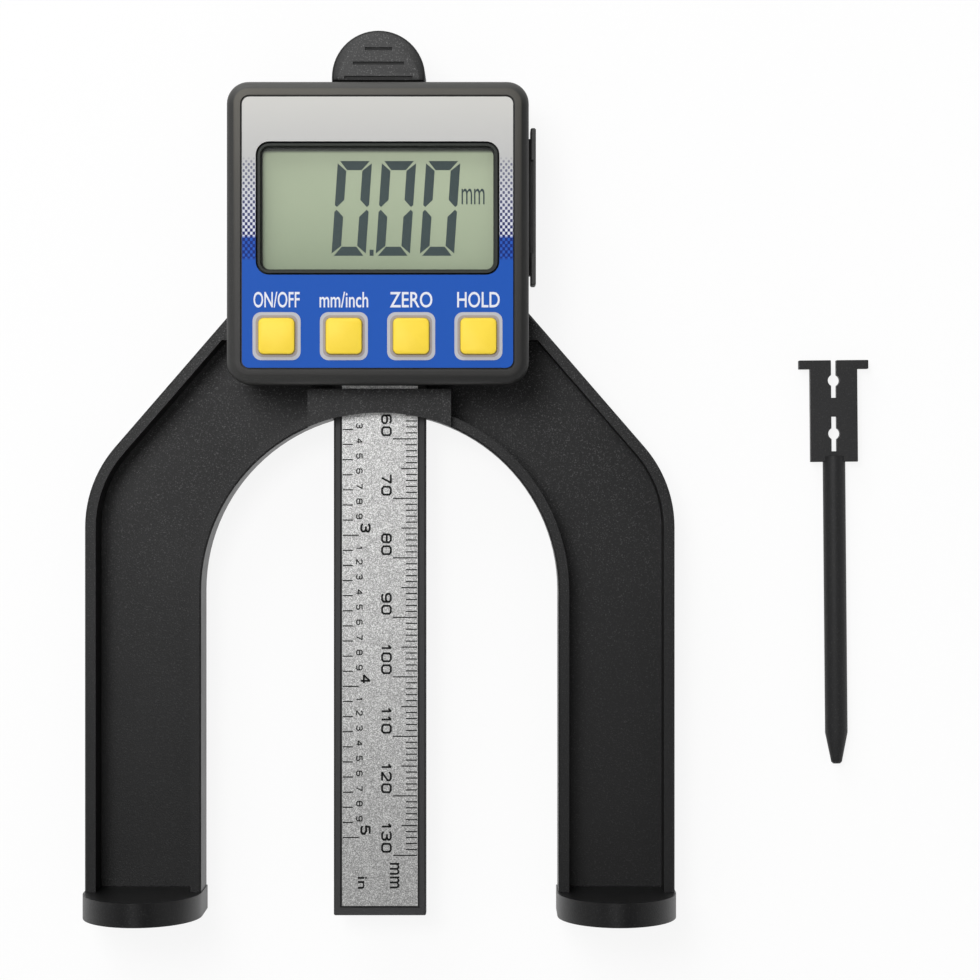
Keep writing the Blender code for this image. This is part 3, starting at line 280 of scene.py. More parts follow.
FRAME_EDGE_RADIUS = 0.0002
FRAME_GRAIN = 0.00022
FRAME_PLASTIC = {
    "colour": (13, 13, 14),
    "speck_glint_colour": (114, 114, 114),
    "grain": FRAME_GRAIN,
    "roughness": 0.40,
    "speck_glint_share": 1.0,
    "gloss": 0.22,
}
FEET_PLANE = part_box("frame")[0].y
# Painted light: the frame's painted glints grow from few low down to many higher up, so the upper frame
# reads lighter.
PAINTED_LIGHT_LOW_HEIGHT = FEET_PLANE + 0.014
PAINTED_LIGHT_HIGH_HEIGHT = FEET_PLANE + 0.094
LOWEST_PAINTED_LIGHT_SHARE = 0.12
SPECK_GLINT_LEVELS = (0.56, 0.74)
PIT_ROUGHNESS = 0.6
PIT_DEPTH_SHARE = 0.16
CLOUD_SIZE = 0.012
CLOUD_STRENGTH = 0.3
CLOUD_DIMMING = 0.85
PLASTIC_ROUGHNESS_SPREAD = 0.1
WELD_DISTANCE = 0.000001
FLAT_ANGLE = math.radians(0.5)
SHARP_ANGLE = math.radians(50)
CREASE_ANGLE = math.radians(28)


def seen(red, green, blue):
    """A colour as a screen shows it, 0 to 255, in the light values that a material takes."""
    light = Color((red / 255, green / 255, blue / 255)).from_srgb_to_scene_linear()
    return (*light, 1)


def dimmed(colour, share):
    return seen(*[level * share for level in colour])


def at_least(least, pattern):
    """A pattern of 0 to 1, squeezed into least to 1."""
    return pattern * (1 - least) + least


def moulded_plastic(name, colour, speck_glint_colour, grain, roughness, speck_glint_share, gloss=0.35, heights=None):
    """Grained plastic: pits all over, and sparse pale specks painted in as glints of the grain.

    Where two heights are given, the painted glints grow from few at the first to many at the second, as
    painted light that is stronger higher up.
    """
    finish = Finish(name, Specular_IOR_Level=gloss)
    place = finish.place()
    pits = finish.noise(place, grain, detail=3, roughness=PIT_ROUGHNESS)
    cloud = finish.noise(place, CLOUD_SIZE)
    # Painted glints: pale specks laid into the colour where the grain would catch the light.
    specks = finish.rise(pits, *SPECK_GLINT_LEVELS)
    if heights:
        # Painted light: more glints higher up, so the upper part reads lighter.
        up = finish.rise(finish.along(place)[1], *heights)
        specks = specks * at_least(LOWEST_PAINTED_LIGHT_SHARE, up * up)
    clouded = finish.mix(cloud * CLOUD_STRENGTH, seen(*colour), dimmed(colour, CLOUD_DIMMING))
    finish.set("Base Color", finish.mix(specks * speck_glint_share, clouded, seen(*speck_glint_colour)))
    finish.roughen(cloud, roughness, PLASTIC_ROUGHNESS_SPREAD)
    finish.bump(pits, grain * PIT_DEPTH_SHARE)
    return finish


def settle(piece, node):
    """Puts a piece in the place of a node: it rides with the node's body, and the node is hidden."""
    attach(piece, frame["nodes"][node]["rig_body"])
    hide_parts(node)


def finished_copy(node, finish, edge_radius, edge_steps=2):
    """A copy of a moulded piece with its triangles joined and its outer edges rounded."""
    shape = bmesh.new()
    shape.from_mesh(frame["nodes"][node].data)
    bmesh.ops.remove_doubles(shape, verts=shape.verts, dist=WELD_DISTANCE)
    bmesh.ops.dissolve_limit(shape, angle_limit=FLAT_ANGLE, verts=shape.verts, edges=shape.edges)
    rounded = shape.edges.layers.float.new("bevel_weight_edge")
    for edge in shape.edges:
        if edge.is_manifold and edge.is_convex and edge.calc_face_angle() > SHARP_ANGLE:
            edge[rounded] = 1
    mesh = bpy.data.meshes.new("finished_" + node)
    shape.to_mesh(mesh)
    shape.free()
    for layer in [item for item in mesh.attributes if item.name == "custom_normal"]:
        mesh.attributes.remove(layer)
    mesh.materials.clear()
    mesh.materials.append(finish.material)
    mesh.shade_smooth()
    mesh.set_sharp_from_angle(angle=CREASE_ANGLE)
    piece = put_in_scene("finished_" + node, mesh)
    rounding = piece.modifiers.new("rounding", "BEVEL")
    rounding.width = edge_radius
    rounding.segments = edge_steps
    rounding.limit_method = "WEIGHT"
    rounding.harden_normals = True
    settle(piece, node)
    return piece


frame_plastic = moulded_plastic(
    "grained_frame_plastic", **FRAME_PLASTIC, heights=(PAINTED_LIGHT_LOW_HEIGHT, PAINTED_LIGHT_HIGH_HEIGHT)
)
finished_copy("frame", frame_plastic, FRAME_EDGE_RADIUS)


# Foot magnets: nickel-plated discs pressed into the soles of the feet.
# They hold the gauge on a saw or router table.

MAGNET_EDGE_RADIUS = 0.0003
METAL_CLOUD_GRAINS = 8
METAL_CLOUD_STRENGTH = 0.4
METAL_CLOUD_DIMMING = 0.82
METAL_ROUGHNESS_SPREAD = 0.16
SCRATCH_DEPTH_SHARE = 0.02


def plated_metal(name, colour, roughness, grain):
    """Plated metal: a bright skin with faint clouds and fine scratches."""
    finish = Finish(name, Metallic=1.0)
    place = finish.place()
    cloud = finish.noise(place, grain * METAL_CLOUD_GRAINS)
    fine = finish.noise(place, grain, detail=4)
    dim = dimmed(colour, METAL_CLOUD_DIMMING)
    finish.set("Base Color", finish.mix(cloud * METAL_CLOUD_STRENGTH, seen(*colour), dim))
    finish.roughen(fine, roughness, METAL_ROUGHNESS_SPREAD)
    finish.bump(fine, grain * SCRATCH_DEPTH_SHARE)
    return finish


nickel = plated_metal("nickel_plate", colour=(205, 203, 196), roughness=0.25, grain=0.0003)
for side in ("left", "right"):
    finished_copy(side + "_foot_magnet", nickel, MAGNET_EDGE_RADIUS)


# Guide spring: a bowed leaf of rolled brass in a recess of the channel floor.
# It presses the beam forward against the collar.

def dress(finish, *nodes):
    """Gives fixed pieces whose shape is right their finish."""
    for node in nodes:
        mesh = frame["nodes"][node].data
        mesh.materials.clear()
        mesh.materials.append(finish.material)


brass = plated_metal("rolled_brass", colour=(214, 176, 104), roughness=0.30, grain=0.0002)
dress(brass, "guide_spring")


# Display unit's shells: front case and rear case, moulded in charcoal plastic.
# The front edge is fully rounded, and a flat warm-grey lip runs round the faceplate's recess.

CASE_EDGE_RADIUS = 0.00012
CASE_PLASTIC = {
    "colour": (48, 48, 47),
    "speck_glint_colour": (86, 85, 82),
    "grain": 0.00018,
    "roughness": 0.5,
    "speck_glint_share": 0.35,
}
# Painted light on the front case: painted shade to the right, a painted highlight along the top edge, and
# painted light and shade on the lip.
CASE_RIGHT_PAINTED_SHADE_COLOUR = (10, 10, 10)
CASE_RIGHT_UNSHADED_SHARE = 0.25
CASE_TOP_PAINTED_HIGHLIGHT_COLOUR = (120, 120, 117)
CASE_TOP_PAINTED_HIGHLIGHT_STRENGTH = 0.3
CASE_TOP_PAINTED_HIGHLIGHT_BAND = 0.004
LIP_PAINTED_LIGHT_COLOUR = (92, 89, 81)
LIP_PAINTED_SHADE_COLOUR = (36, 35, 34)
LIP_RIGHT_PAINTED_LIGHT_SHARE = 0.6
LIP_STRENGTH = 0.85
LIP_DEPTH = 0.0001


def front_case_finish():
    """The case's plastic with painted shade towards the right and a painted highlight along the top, and
    the lip's warm grey with painted light at the top and painted shade lower down and to the right.
    """
    finish = moulded_plastic("charcoal_front_plastic_with_painted_light", **CASE_PLASTIC)
    low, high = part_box("front_case")
    across, up, height = finish.along(finish.place())
    to_left = finish.rise(across, high.x, low.x)
    to_top = finish.rise(up, low.y, high.y)
    painted_highlight_band = finish.rise(up, high.y - CASE_TOP_PAINTED_HIGHLIGHT_BAND, high.y)
    on_lip = finish.rise(height, high.z - LIP_DEPTH, high.z - LIP_DEPTH / 2)
    plain = finish.present("Base Color")
    # Painted shade towards the right, and a painted highlight band along the top edge.
    shell = finish.mix(at_least(CASE_RIGHT_UNSHADED_SHARE, to_left), seen(*CASE_RIGHT_PAINTED_SHADE_COLOUR), plain)
    shell = finish.mix(painted_highlight_band * CASE_TOP_PAINTED_HIGHLIGHT_STRENGTH, shell, seen(*CASE_TOP_PAINTED_HIGHLIGHT_COLOUR))
    # The lip: warm grey, with painted light at the top fading to painted shade at the bottom and to the
    # right.
    lip_painted_light = to_top * to_top * at_least(LIP_RIGHT_PAINTED_LIGHT_SHARE, to_left)
    lip = finish.mix(lip_painted_light, seen(*LIP_PAINTED_SHADE_COLOUR), seen(*LIP_PAINTED_LIGHT_COLOUR))
    finish.set("Base Color", finish.mix(on_lip * LIP_STRENGTH, shell, lip))
    return finish


case_plastic = moulded_plastic("charcoal_case_plastic", **CASE_PLASTIC)
finished_copy("front_case", front_case_finish(), CASE_EDGE_RADIUS)
finished_copy("rear_case", case_plastic, CASE_EDGE_RADIUS)


# Case screws: plated pan heads with a cross recess, driven from the back of the frame.
# Their heads sit a little below the flat back.

CASE_SCREW_HEAD_HEIGHT = 0.001
CROSS_LENGTH_SHARE = 1.1
CROSS_WIDTH_SHARE = 0.26
CROSS_DEPTH_SHARE = 0.6
SCREW_ROUNDING = 0.00008

screw_steel = plated_metal("plated_screw_steel", colour=(200, 200, 202), roughness=0.28, grain=0.0002)


def cross_recess(piece, centre, length, width, depth):
    """Cuts a cross into a face that looks down."""
    for size_x, size_y in ((length, width), (width, length)):
        shape = bmesh.new()
        bmesh.ops.create_cube(shape, size=1)
        bmesh.ops.scale(shape, vec=(size_x, size_y, depth * 2), verts=shape.verts)
        bmesh.ops.translate(shape, vec=centre, verts=shape.verts)
        mesh = bpy.data.meshes.new("cross_cutter")
        shape.to_mesh(mesh)
        shape.free()
        cutter = put_in_scene("cross_cutter", mesh)
        cut = piece.modifiers.new("cross", "BOOLEAN")
        cut.operation = "DIFFERENCE"
        cut.solver = "EXACT"
        cut.object = cutter
        graph = bpy.context.evaluated_depsgraph_get()
        cut_mesh = bpy.data.meshes.new_from_object(piece.evaluated_get(graph))
        piece.modifiers.remove(cut)
        piece.data = cut_mesh
        bpy.data.objects.remove(cutter)


def screw_with_cross(node, head_height):
    """A screw whose head, its widest part, looks down and has a cross cut into it."""
    piece = finished_copy(node, screw_steel, SCREW_ROUNDING, edge_steps=1)
    low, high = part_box(node)
    centre = ((low.x + high.x) / 2, (low.y + high.y) / 2, low.z)
    length = (high.x - low.x) / 2 * CROSS_LENGTH_SHARE
    cross_recess(piece, centre, length, length * CROSS_WIDTH_SHARE, head_height * CROSS_DEPTH_SHARE)


for row in ("lower", "upper"):
    for side in ("left", "right"):
        screw_with_cross(row + "_" + side + "_case_screw", CASE_SCREW_HEAD_HEIGHT)


# Faceplate: a printed film on the front case, light grey above and blue below, with a dotted blend.
# The words over the buttons are white, and a grey ring is printed round each button, with a warm band of
# painted shade next to the cap.

FILM_TOP_COLOUR = (206, 205, 201)
FILM_GREY_COLOUR = (190, 190, 189)
FILM_PALE_COLOUR = (216, 219, 232)
FILM_BLUE_COLOUR = (26, 84, 178)
FILM_DOTTED_BLUE_COLOUR = (38, 88, 184)
DOT_GREY_COLOUR = (122, 124, 140)
DOT_PALE_COLOUR = (18, 28, 96)
DOT_BLUE_COLOUR = (14, 40, 116)
DOTS_START = FEET_PLANE + 0.1264
DOTS_END = FEET_PLANE + 0.1132
DEEP_DOTS_END = FEET_PLANE + 0.1095
DOT_FADE = 0.0012
DOTS_ACROSS = 0.000847
DOTS_UP = 0.00103
DOTS_SHIFT = 0.00016
DOT_EDGE = 0.12
DOT_START_LEVEL = 0.24
DOT_PALE_LEVEL = -0.06
BLUE_EDGE = 0.00025
PRINT_GLOSS = 0.1
FILM_TEXTURE = 0.0002
FILM_TEXTURE_DEPTH = 0.000004
INK_THICKNESS = 0.00003
INK_MOTTLE = 0.00015
INK_MOTTLE_STRENGTH = 0.25
INK_MOTTLE_DIMMING = 0.8
BUTTONS = ("on_off_button", "unit_button", "zero_button", "hold_button")
RING_OUTER_WIDTH = 0.0079
RING_PALE_BAND = 0.0005
RING_PAINTED_SHADE_BAND = 0.0004
RING_CORNER_RADIUS = 0.0014
RING_PALE_COLOUR = (190, 191, 198)
RING_PAINTED_SHADE_COLOUR = (165, 157, 156)
CORNER_STEPS = 8


def printed_film():
    finish = Finish("printed_blue_film", Specular_IOR_Level=PRINT_GLOSS)
    place = finish.place()
    across, height = finish.along(place)[:2]
    turns = (across * (2 * math.pi / DOTS_ACROSS), (height + DOTS_SHIFT) * (2 * math.pi / DOTS_UP))
    waves = [finish.add("ShaderNodeMath", {"operation": "COSINE"}, {0: turn}) for turn in turns]
    screen = waves[0] * waves[1]
    growth = finish.rise(height, DOTS_START, DOTS_END)
    in_blue = finish.rise(height, DOTS_END + BLUE_EDGE, DOTS_END - BLUE_EDGE)
    below_dots = finish.rise(height, DEEP_DOTS_END + BLUE_EDGE, DEEP_DOTS_END - BLUE_EDGE)
    shown = finish.rise(height, DOTS_START, DOTS_START - DOT_FADE) * (1 - below_dots)
    level = DOT_START_LEVEL - growth * (DOT_START_LEVEL - DOT_PALE_LEVEL)
    dots = finish.rise(screen - level, -DOT_EDGE, DOT_EDGE) * shown
    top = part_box("faceplate")[1].y
    grey = finish.mix(finish.rise(height, top, DOTS_START), seen(*FILM_TOP_COLOUR), seen(*FILM_GREY_COLOUR))
    pale = finish.mix(growth, grey, seen(*FILM_PALE_COLOUR))
    pale_dot = finish.mix(growth, seen(*DOT_GREY_COLOUR), seen(*DOT_PALE_COLOUR))
    dot_colour = finish.mix(in_blue, pale_dot, seen(*DOT_BLUE_COLOUR))
    blue = finish.mix(below_dots, seen(*FILM_DOTTED_BLUE_COLOUR), seen(*FILM_BLUE_COLOUR))
    ground = finish.mix(in_blue, pale, blue)
    finish.set("Base Color", finish.mix(dots, ground, dot_colour))
    texture = finish.noise(place, FILM_TEXTURE)
    finish.roughen(texture, middle=0.46, spread=0.12)
    finish.bump(texture, FILM_TEXTURE_DEPTH)
    return finish


def ink(name, colour):
    """Screen-printed ink: nearly even, with a faint mottle."""
    finish = Finish(name, Specular_IOR_Level=PRINT_GLOSS)
    mottle = finish.noise(finish.place(), INK_MOTTLE, detail=3)
    dim = dimmed(colour, INK_MOTTLE_DIMMING)
    finish.set("Base Color", finish.mix(mottle * INK_MOTTLE_STRENGTH, seen(*colour), dim))
    finish.roughen(mottle, middle=0.5, spread=0.1)
    return finish


def corner_loop(centre, width, radius):
    """Points round a square with round corners."""
    points = []
    for quarter, (side_x, side_y) in enumerate(((1, 1), (-1, 1), (-1, -1), (1, -1))):
        for step in range(CORNER_STEPS + 1):
            angle = math.pi / 2 * (quarter + step / CORNER_STEPS)
            x = centre[0] + side_x * (width / 2 - radius) + radius * math.cos(angle)
            y = centre[1] + side_y * (width / 2 - radius) + radius * math.sin(angle)
            points.append((x, y))
    return points


def thicken(shape, faces):
    """Gives flat faces the thickness of printed ink."""
    raised = bmesh.ops.extrude_face_region(shape, geom=faces, use_keep_orig=True)
    verts = [item for item in raised["geom"] if isinstance(item, bmesh.types.BMVert)]
    bmesh.ops.translate(shape, vec=(0, 0, INK_THICKNESS), verts=verts)


def printed_ring(shape, centre, outer_inset, band, back):
    """A ring of ink, drawn as two loops that are bridged."""
    loops = []
    for inset in (outer_inset, outer_inset + band):
        loop = corner_loop(centre, RING_OUTER_WIDTH - 2 * inset, RING_CORNER_RADIUS - inset / 2)
        corners = [shape.verts.new((x, y, back)) for x, y in loop]
        pairs = zip(corners, corners[1:] + corners[:1])
        loops += [shape.edges.new(pair) for pair in pairs]
    thicken(shape, bmesh.ops.bridge_loops(shape, edges=loops)["faces"])


def printed_piece(name, shape, finish, body):
    """A mesh of ink that rides with what it is printed on."""
    bmesh.ops.recalc_face_normals(shape, faces=shape.faces)
    mesh = bpy.data.meshes.new(name)
    shape.to_mesh(mesh)
    shape.free()
    mesh.materials.append(finish.material)
    piece = put_in_scene(name, mesh)
    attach(piece, body)


def middle_of(node):
    low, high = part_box(node)
    return (low + high) / 2


dress(printed_film(), "faceplate")
front_of_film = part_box("faceplate")[1].z
# Each ring: a pale printed band outside, and inside it a warm band of painted shade where the cap shades
# the gap.
for name, colour, inset, band in (
    ("pale_ring", RING_PALE_COLOUR, 0, RING_PALE_BAND),
    ("painted_shade_ring", RING_PAINTED_SHADE_COLOUR, RING_PALE_BAND, RING_PAINTED_SHADE_BAND),
):
    rings = bmesh.new()
    for button in BUTTONS:
        printed_ring(rings, middle_of(button).xy, inset, band, front_of_film)
    printed_piece(name + "s", rings, ink(name + "_ink", colour), "gauge")


# Words over the buttons: plain control names, screen-printed in white.
# Each is fitted to its own width, because the letters are condensed.

LABEL_COLOUR = (232, 235, 244)
LABEL_WEIGHT_SHARE = 0.01
LABEL_HEIGHT = 0.0026
LABEL_BOTTOM = FEET_PLANE + 0.1015
LABELS = (("ON/OFF", 0.0076), ("mm/inch", 0.0080), ("ZERO", 0.0070), ("HOLD", 0.0070))


def words_in_box(shape, words, low, high, back, weight_share, turned=False):
    """Adds words of ink that fill a box, upright or read from the right-hand side."""
    curve = bpy.data.curves.new("words", "FONT")
    curve.body = words
    curve.offset = weight_share
    curve.extrude = 0.5
    curve.resolution_u = 4
    text = put_in_scene("words", curve)
    graph = bpy.context.evaluated_depsgraph_get()
    mesh = bpy.data.meshes.new_from_object(text.evaluated_get(graph))
    bpy.data.objects.remove(text)
    if turned:
        mesh.transform(Matrix.Rotation(-math.pi / 2, 4, "Z"))
    corners = [[corner.co[axis] for corner in mesh.vertices] for axis in range(3)]
    least = Vector([min(values) for values in corners])
    most = Vector([max(values) for values in corners])
    wanted = Vector((high[0] - low[0], high[1] - low[1], INK_THICKNESS))
    sizes = [wanted[axis] / (most[axis] - least[axis]) for axis in range(3)]
    fit = Matrix.Translation((low[0], low[1], back)) @ Matrix.Diagonal((*sizes, 1))
    mesh.transform(fit @ Matrix.Translation(-least))
    shape.from_mesh(mesh)
    bpy.data.meshes.remove(mesh)


labels = bmesh.new()
for button, (words, width) in zip(BUTTONS, LABELS):
    centre = middle_of(button).x
    low = (centre - width / 2, LABEL_BOTTOM)
    high = (centre + width / 2, LABEL_BOTTOM + LABEL_HEIGHT)
    words_in_box(labels, words, low, high, front_of_film, LABEL_WEIGHT_SHARE)
printed_piece("button_words", labels, ink("white_word_ink", LABEL_COLOUR), "gauge")


# Display: a reflective liquid crystal panel in a black mask, behind a clear acrylic window.
# The reading is made of slanted seven-bar figures, with their mitred ends a hair apart.

PANEL_COLOUR = (186, 197, 168)
PANEL_PAINTED_SHADE_COLOUR = (132, 146, 120)
PANEL_PAINTED_SHADOW_COLOUR = (50, 54, 50)
PANEL_PAINTED_SHADOW_EDGE = FEET_PLANE + 0.1276
PANEL_PAINTED_SHADOW_SOFTNESS = 0.0005
PANEL_PAINTED_SHADOW_STRENGTH = 0.95
PANEL_CLOUD = 0.006
PANEL_PAINTED_SHADE_SHARES = {"down": 0.7, "left": 0.2, "cloud": 0.1}
FIGURE_COLOUR = (43, 61, 63)
FIGURE_BOTTOM = FEET_PLANE + 0.1102
FIGURE_HEIGHT = 0.01565
FIGURE_WIDTH = 0.00565
FIGURE_PITCH = 0.0073
FIGURE_LEFT = -0.0077
FIGURE_SLANT = 0.068
BAR = 0.0015
MITRE_GAP = 0.00013
CORNER_CUT = 0.00025
WAIST_GAP = 0.00022
WAIST_SLOPE = 0.0014
WAIST_TIP = 0.00035
POINT_WIDTH = 0.00065
POINT_HEIGHT = 0.001
POINT_SHARE_LEFT_OF_GAP_MIDDLE = 0.25
FIGURE_COUNT = 3
UNIT_LOW = (0.0138, FEET_PLANE + 0.1187)
UNIT_HIGH = (0.0176, FEET_PLANE + 0.1213)
MASK_EDGE_RADIUS = 0.0001
WINDOW_EDGE_RADIUS = 0.0001
WINDOW_COLOUR = (235, 240, 236)
WINDOW_HAZE_COLOUR = (220, 228, 222)
WINDOW_HAZE = 0.004
WINDOW_HAZE_STRENGTH = 0.3


def display_panel_finish():
    """Pale green glass with painted shade downwards and to the left, and a painted shadow of the mask along
    its upper edge.
    """
    finish = Finish("liquid_crystal_panel", Specular_IOR_Level=PRINT_GLOSS)
    place = finish.place()
    across, height = finish.along(place)[:2]
    low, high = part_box("display_panel")
    cloud = finish.noise(place, PANEL_CLOUD)
    # Painted shade: darker downwards and to the left, with a random cloud.
    down = finish.rise(height, high.y, low.y)
    to_left = finish.rise(across, high.x, low.x)
    shares = PANEL_PAINTED_SHADE_SHARES
    shade = down * shares["down"] + to_left * shares["left"] + cloud * shares["cloud"]
    glass = finish.mix(shade, seen(*PANEL_COLOUR), seen(*PANEL_PAINTED_SHADE_COLOUR))
    # Painted shadow of the mask along the panel's upper edge.
    painted_mask_shadow = finish.rise(height, PANEL_PAINTED_SHADOW_EDGE - PANEL_PAINTED_SHADOW_SOFTNESS, PANEL_PAINTED_SHADOW_EDGE)
    finish.set("Base Color", finish.mix(painted_mask_shadow * PANEL_PAINTED_SHADOW_STRENGTH, glass, seen(*PANEL_PAINTED_SHADOW_COLOUR)))
    finish.roughen(cloud, middle=0.45, spread=0.1)
    return finish


def slanted(x, y):
    return (x + FIGURE_SLANT * y, y)


def upside_down(outline):
    return [(x, FIGURE_HEIGHT - y) for x, y in outline]


def swapped_sides(outline):
    return [(FIGURE_WIDTH - x, y) for x, y in outline]


def zero_outlines():
    """The six bars of a nought, all made from its upper left bar and its top bar."""
    waist = FIGURE_HEIGHT / 2
    upper_left = [
        (0, FIGURE_HEIGHT - CORNER_CUT - MITRE_GAP),
        (BAR, FIGURE_HEIGHT - BAR - MITRE_GAP),
        (BAR, waist + WAIST_SLOPE),
        (WAIST_TIP, waist + WAIST_GAP),
        (0, waist + WAIST_GAP + WAIST_TIP),
    ]
    top = [
        (CORNER_CUT + MITRE_GAP, FIGURE_HEIGHT),
        (FIGURE_WIDTH - CORNER_CUT - MITRE_GAP, FIGURE_HEIGHT),
        (FIGURE_WIDTH - BAR - MITRE_GAP, FIGURE_HEIGHT - BAR),
        (BAR + MITRE_GAP, FIGURE_HEIGHT - BAR),
    ]
    left_bars = [upper_left, upside_down(upper_left)]
    return [*left_bars, *[swapped_sides(outline) for outline in left_bars], top, upside_down(top)]


def ink_outline(shape, points, back):
    face = shape.faces.new([shape.verts.new((x, y, back)) for x, y in points])
    thicken(shape, [face])


dress(display_panel_finish(), "display_panel")
mask_plastic = moulded_plastic(
    "black_mask_plastic",
    colour=(52, 55, 52),
    speck_glint_colour=(60, 64, 60),
    grain=0.0002,
    roughness=0.4,
    speck_glint_share=0.2,
    gloss=0.1,
)
finished_copy("display_surround", mask_plastic, MASK_EDGE_RADIUS)

front_of_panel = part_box("display_panel")[1].z
figures = bmesh.new()
for index in range(FIGURE_COUNT):
    left = FIGURE_LEFT + index * FIGURE_PITCH
    for outline in zero_outlines():
        placed = [(left + x, FIGURE_BOTTOM + y) for x, y in (slanted(*point) for point in outline)]
        ink_outline(figures, placed, front_of_panel)
gap_middle = FIGURE_LEFT + (FIGURE_PITCH + FIGURE_WIDTH) / 2
point_left = gap_middle - POINT_WIDTH * POINT_SHARE_LEFT_OF_GAP_MIDDLE
point_right = point_left + POINT_WIDTH
point_top = FIGURE_BOTTOM + POINT_HEIGHT
decimal_point = [
    (point_left, FIGURE_BOTTOM),
    (point_right, FIGURE_BOTTOM),
    (point_right, point_top),
    (point_left, point_top),
]
ink_outline(figures, decimal_point, front_of_panel)
words_in_box(figures, "mm", UNIT_LOW, UNIT_HIGH, front_of_panel, weight_share=0)
figure_ink = ink("liquid_crystal_bars", FIGURE_COLOUR)
printed_piece("display_figures", figures, figure_ink, "gauge")

clear = Finish("clear_acrylic", Roughness=0.15, Alpha=0.02)
haze = clear.noise(clear.place(), WINDOW_HAZE)
hazy = clear.mix(haze * WINDOW_HAZE_STRENGTH, seen(*WINDOW_COLOUR), seen(*WINDOW_HAZE_COLOUR))
clear.set("Base Color", hazy)
finished_copy("display_window", clear, WINDOW_EDGE_RADIUS)


# Circuit board behind the display: green laminate with copper tracks under its coating.
# The chip and the four dome switches are moulded in black epoxy.

BOARD_COLOUR = (26, 92, 52)
BOARD_WEAVE_COLOUR = (14, 60, 34)
BOARD_WEAVE = 0.0004
BOARD_WEAVE_STRENGTH = 0.3
TRACK_COLOUR = (48, 124, 74)
TRACK_PITCH = 0.0016
TRACK_GAP_SHARE = 0.05
TRACK_HEIGHT = 0.00003

board = Finish("green_board_laminate", Specular_IOR_Level=0.5)
place = board.place()
tiles = {"Vector": place, "Scale": 1 / TRACK_PITCH, "Mortar Size": TRACK_GAP_SHARE}
tracks = board.add("ShaderNodeTexBrick", {}, tiles, "Fac")
weave = board.noise(place, BOARD_WEAVE)
tracked = board.mix(tracks, seen(*BOARD_COLOUR), seen(*TRACK_COLOUR))
board.set("Base Color", board.mix(weave * BOARD_WEAVE_STRENGTH, tracked, seen(*BOARD_WEAVE_COLOUR)))
board.roughen(weave, middle=0.4, spread=0.2)
board.bump(tracks, TRACK_HEIGHT)
dress(board, "circuit_board")
epoxy = moulded_plastic(
    "black_chip_epoxy",
    colour=(30, 30, 31),
    speck_glint_colour=(80, 80, 80),
    grain=0.0001,
    roughness=0.6,
    speck_glint_share=0.3,
)
dress(epoxy, "controller_chip", "on_off_switch", "unit_switch", "zero_switch", "hold_switch")


# Contact strip: layers of conductive and plain rubber that join the board to the panel.
# It is squeezed between them under the display's lower edge.

LAYER_SIZE = 0.0001
CONDUCTIVE_COLOUR = (60, 60, 62)
PLAIN_RUBBER_COLOUR = (176, 130, 140)

layered = Finish("layered_contact_rubber", Roughness=0.8)
stripes = {"Vector": layered.place(), "Scale": 1 / LAYER_SIZE, "Distortion": 0.0}
layers = layered.add("ShaderNodeTexWave", {"bands_direction": "X"}, stripes)
layered.set("Base Color", layered.mix(layers, seen(*CONDUCTIVE_COLOUR), seen(*PLAIN_RUBBER_COLOUR)))
dress(layered, "contact_strip")


# Push buttons: four caps of yellow silicone rubber with a soft rounded edge.
# Each stands a little proud of the faceplate, over its dome switch.

BUTTON_COLOUR = (253, 222, 66)
BUTTON_SHADE_COLOUR = (240, 200, 40)
BUTTON_EDGE_RADIUS = 0.00008
BUTTON_CLOUD = 0.002
BUTTON_CLOUD_STRENGTH = 0.4
BUTTON_TEXTURE = 0.0001
BUTTON_TEXTURE_DEPTH = 0.000006

rubber = Finish("yellow_silicone", Specular_IOR_Level=0.35)
place = rubber.place()
shade = rubber.noise(place, BUTTON_CLOUD) * BUTTON_CLOUD_STRENGTH
texture = rubber.noise(place, BUTTON_TEXTURE, detail=3)
rubber.set("Base Color", rubber.mix(shade, seen(*BUTTON_COLOUR), seen(*BUTTON_SHADE_COLOUR)))
rubber.roughen(texture, middle=0.495, spread=0.15)
rubber.bump(texture, BUTTON_TEXTURE_DEPTH)
for button in BUTTONS:
    finished_copy(button, rubber, BUTTON_EDGE_RADIUS)


# Battery drawer: a charcoal tray whose face lies against the side of the case, with a finger notch.
# The coin cell lies in it between two plated contact leaves.

DRAWER_EDGE_RADIUS = 0.00015

finished_copy("battery_drawer", case_plastic, DRAWER_EDGE_RADIUS)
cell_steel = plated_metal("cell_steel", colour=(196, 197, 200), roughness=0.25, grain=0.0004)
finished_copy("coin_cell", cell_steel, DRAWER_EDGE_RADIUS)
contact_metal = plated_metal("contact_plating", colour=(214, 206, 186), roughness=0.3, grain=0.0002)
dress(contact_metal, "negative_contact", "positive_contact")


# Beam: a flat black rail, moulded smooth, with a shallow bed for the graduated plate.
# Its back has the pocket and the two pegs that hold the depth pin.

BEAM_EDGE_RADIUS = 0.0002

beam_plastic = moulded_plastic(
    "black_beam_plastic",
    colour=(40, 40, 41),
    speck_glint_colour=(80, 80, 80),
    grain=0.00025,
    roughness=0.5,
    speck_glint_share=0.25,
)
finished_copy("beam", beam_plastic, BEAM_EDGE_RADIUS)


# Graduated plate: frosted silver metal, glued in the beam's bed, with engraved black lines and figures.
# Millimetres run along the right edge and tenths of an inch along the left, both from one zero.

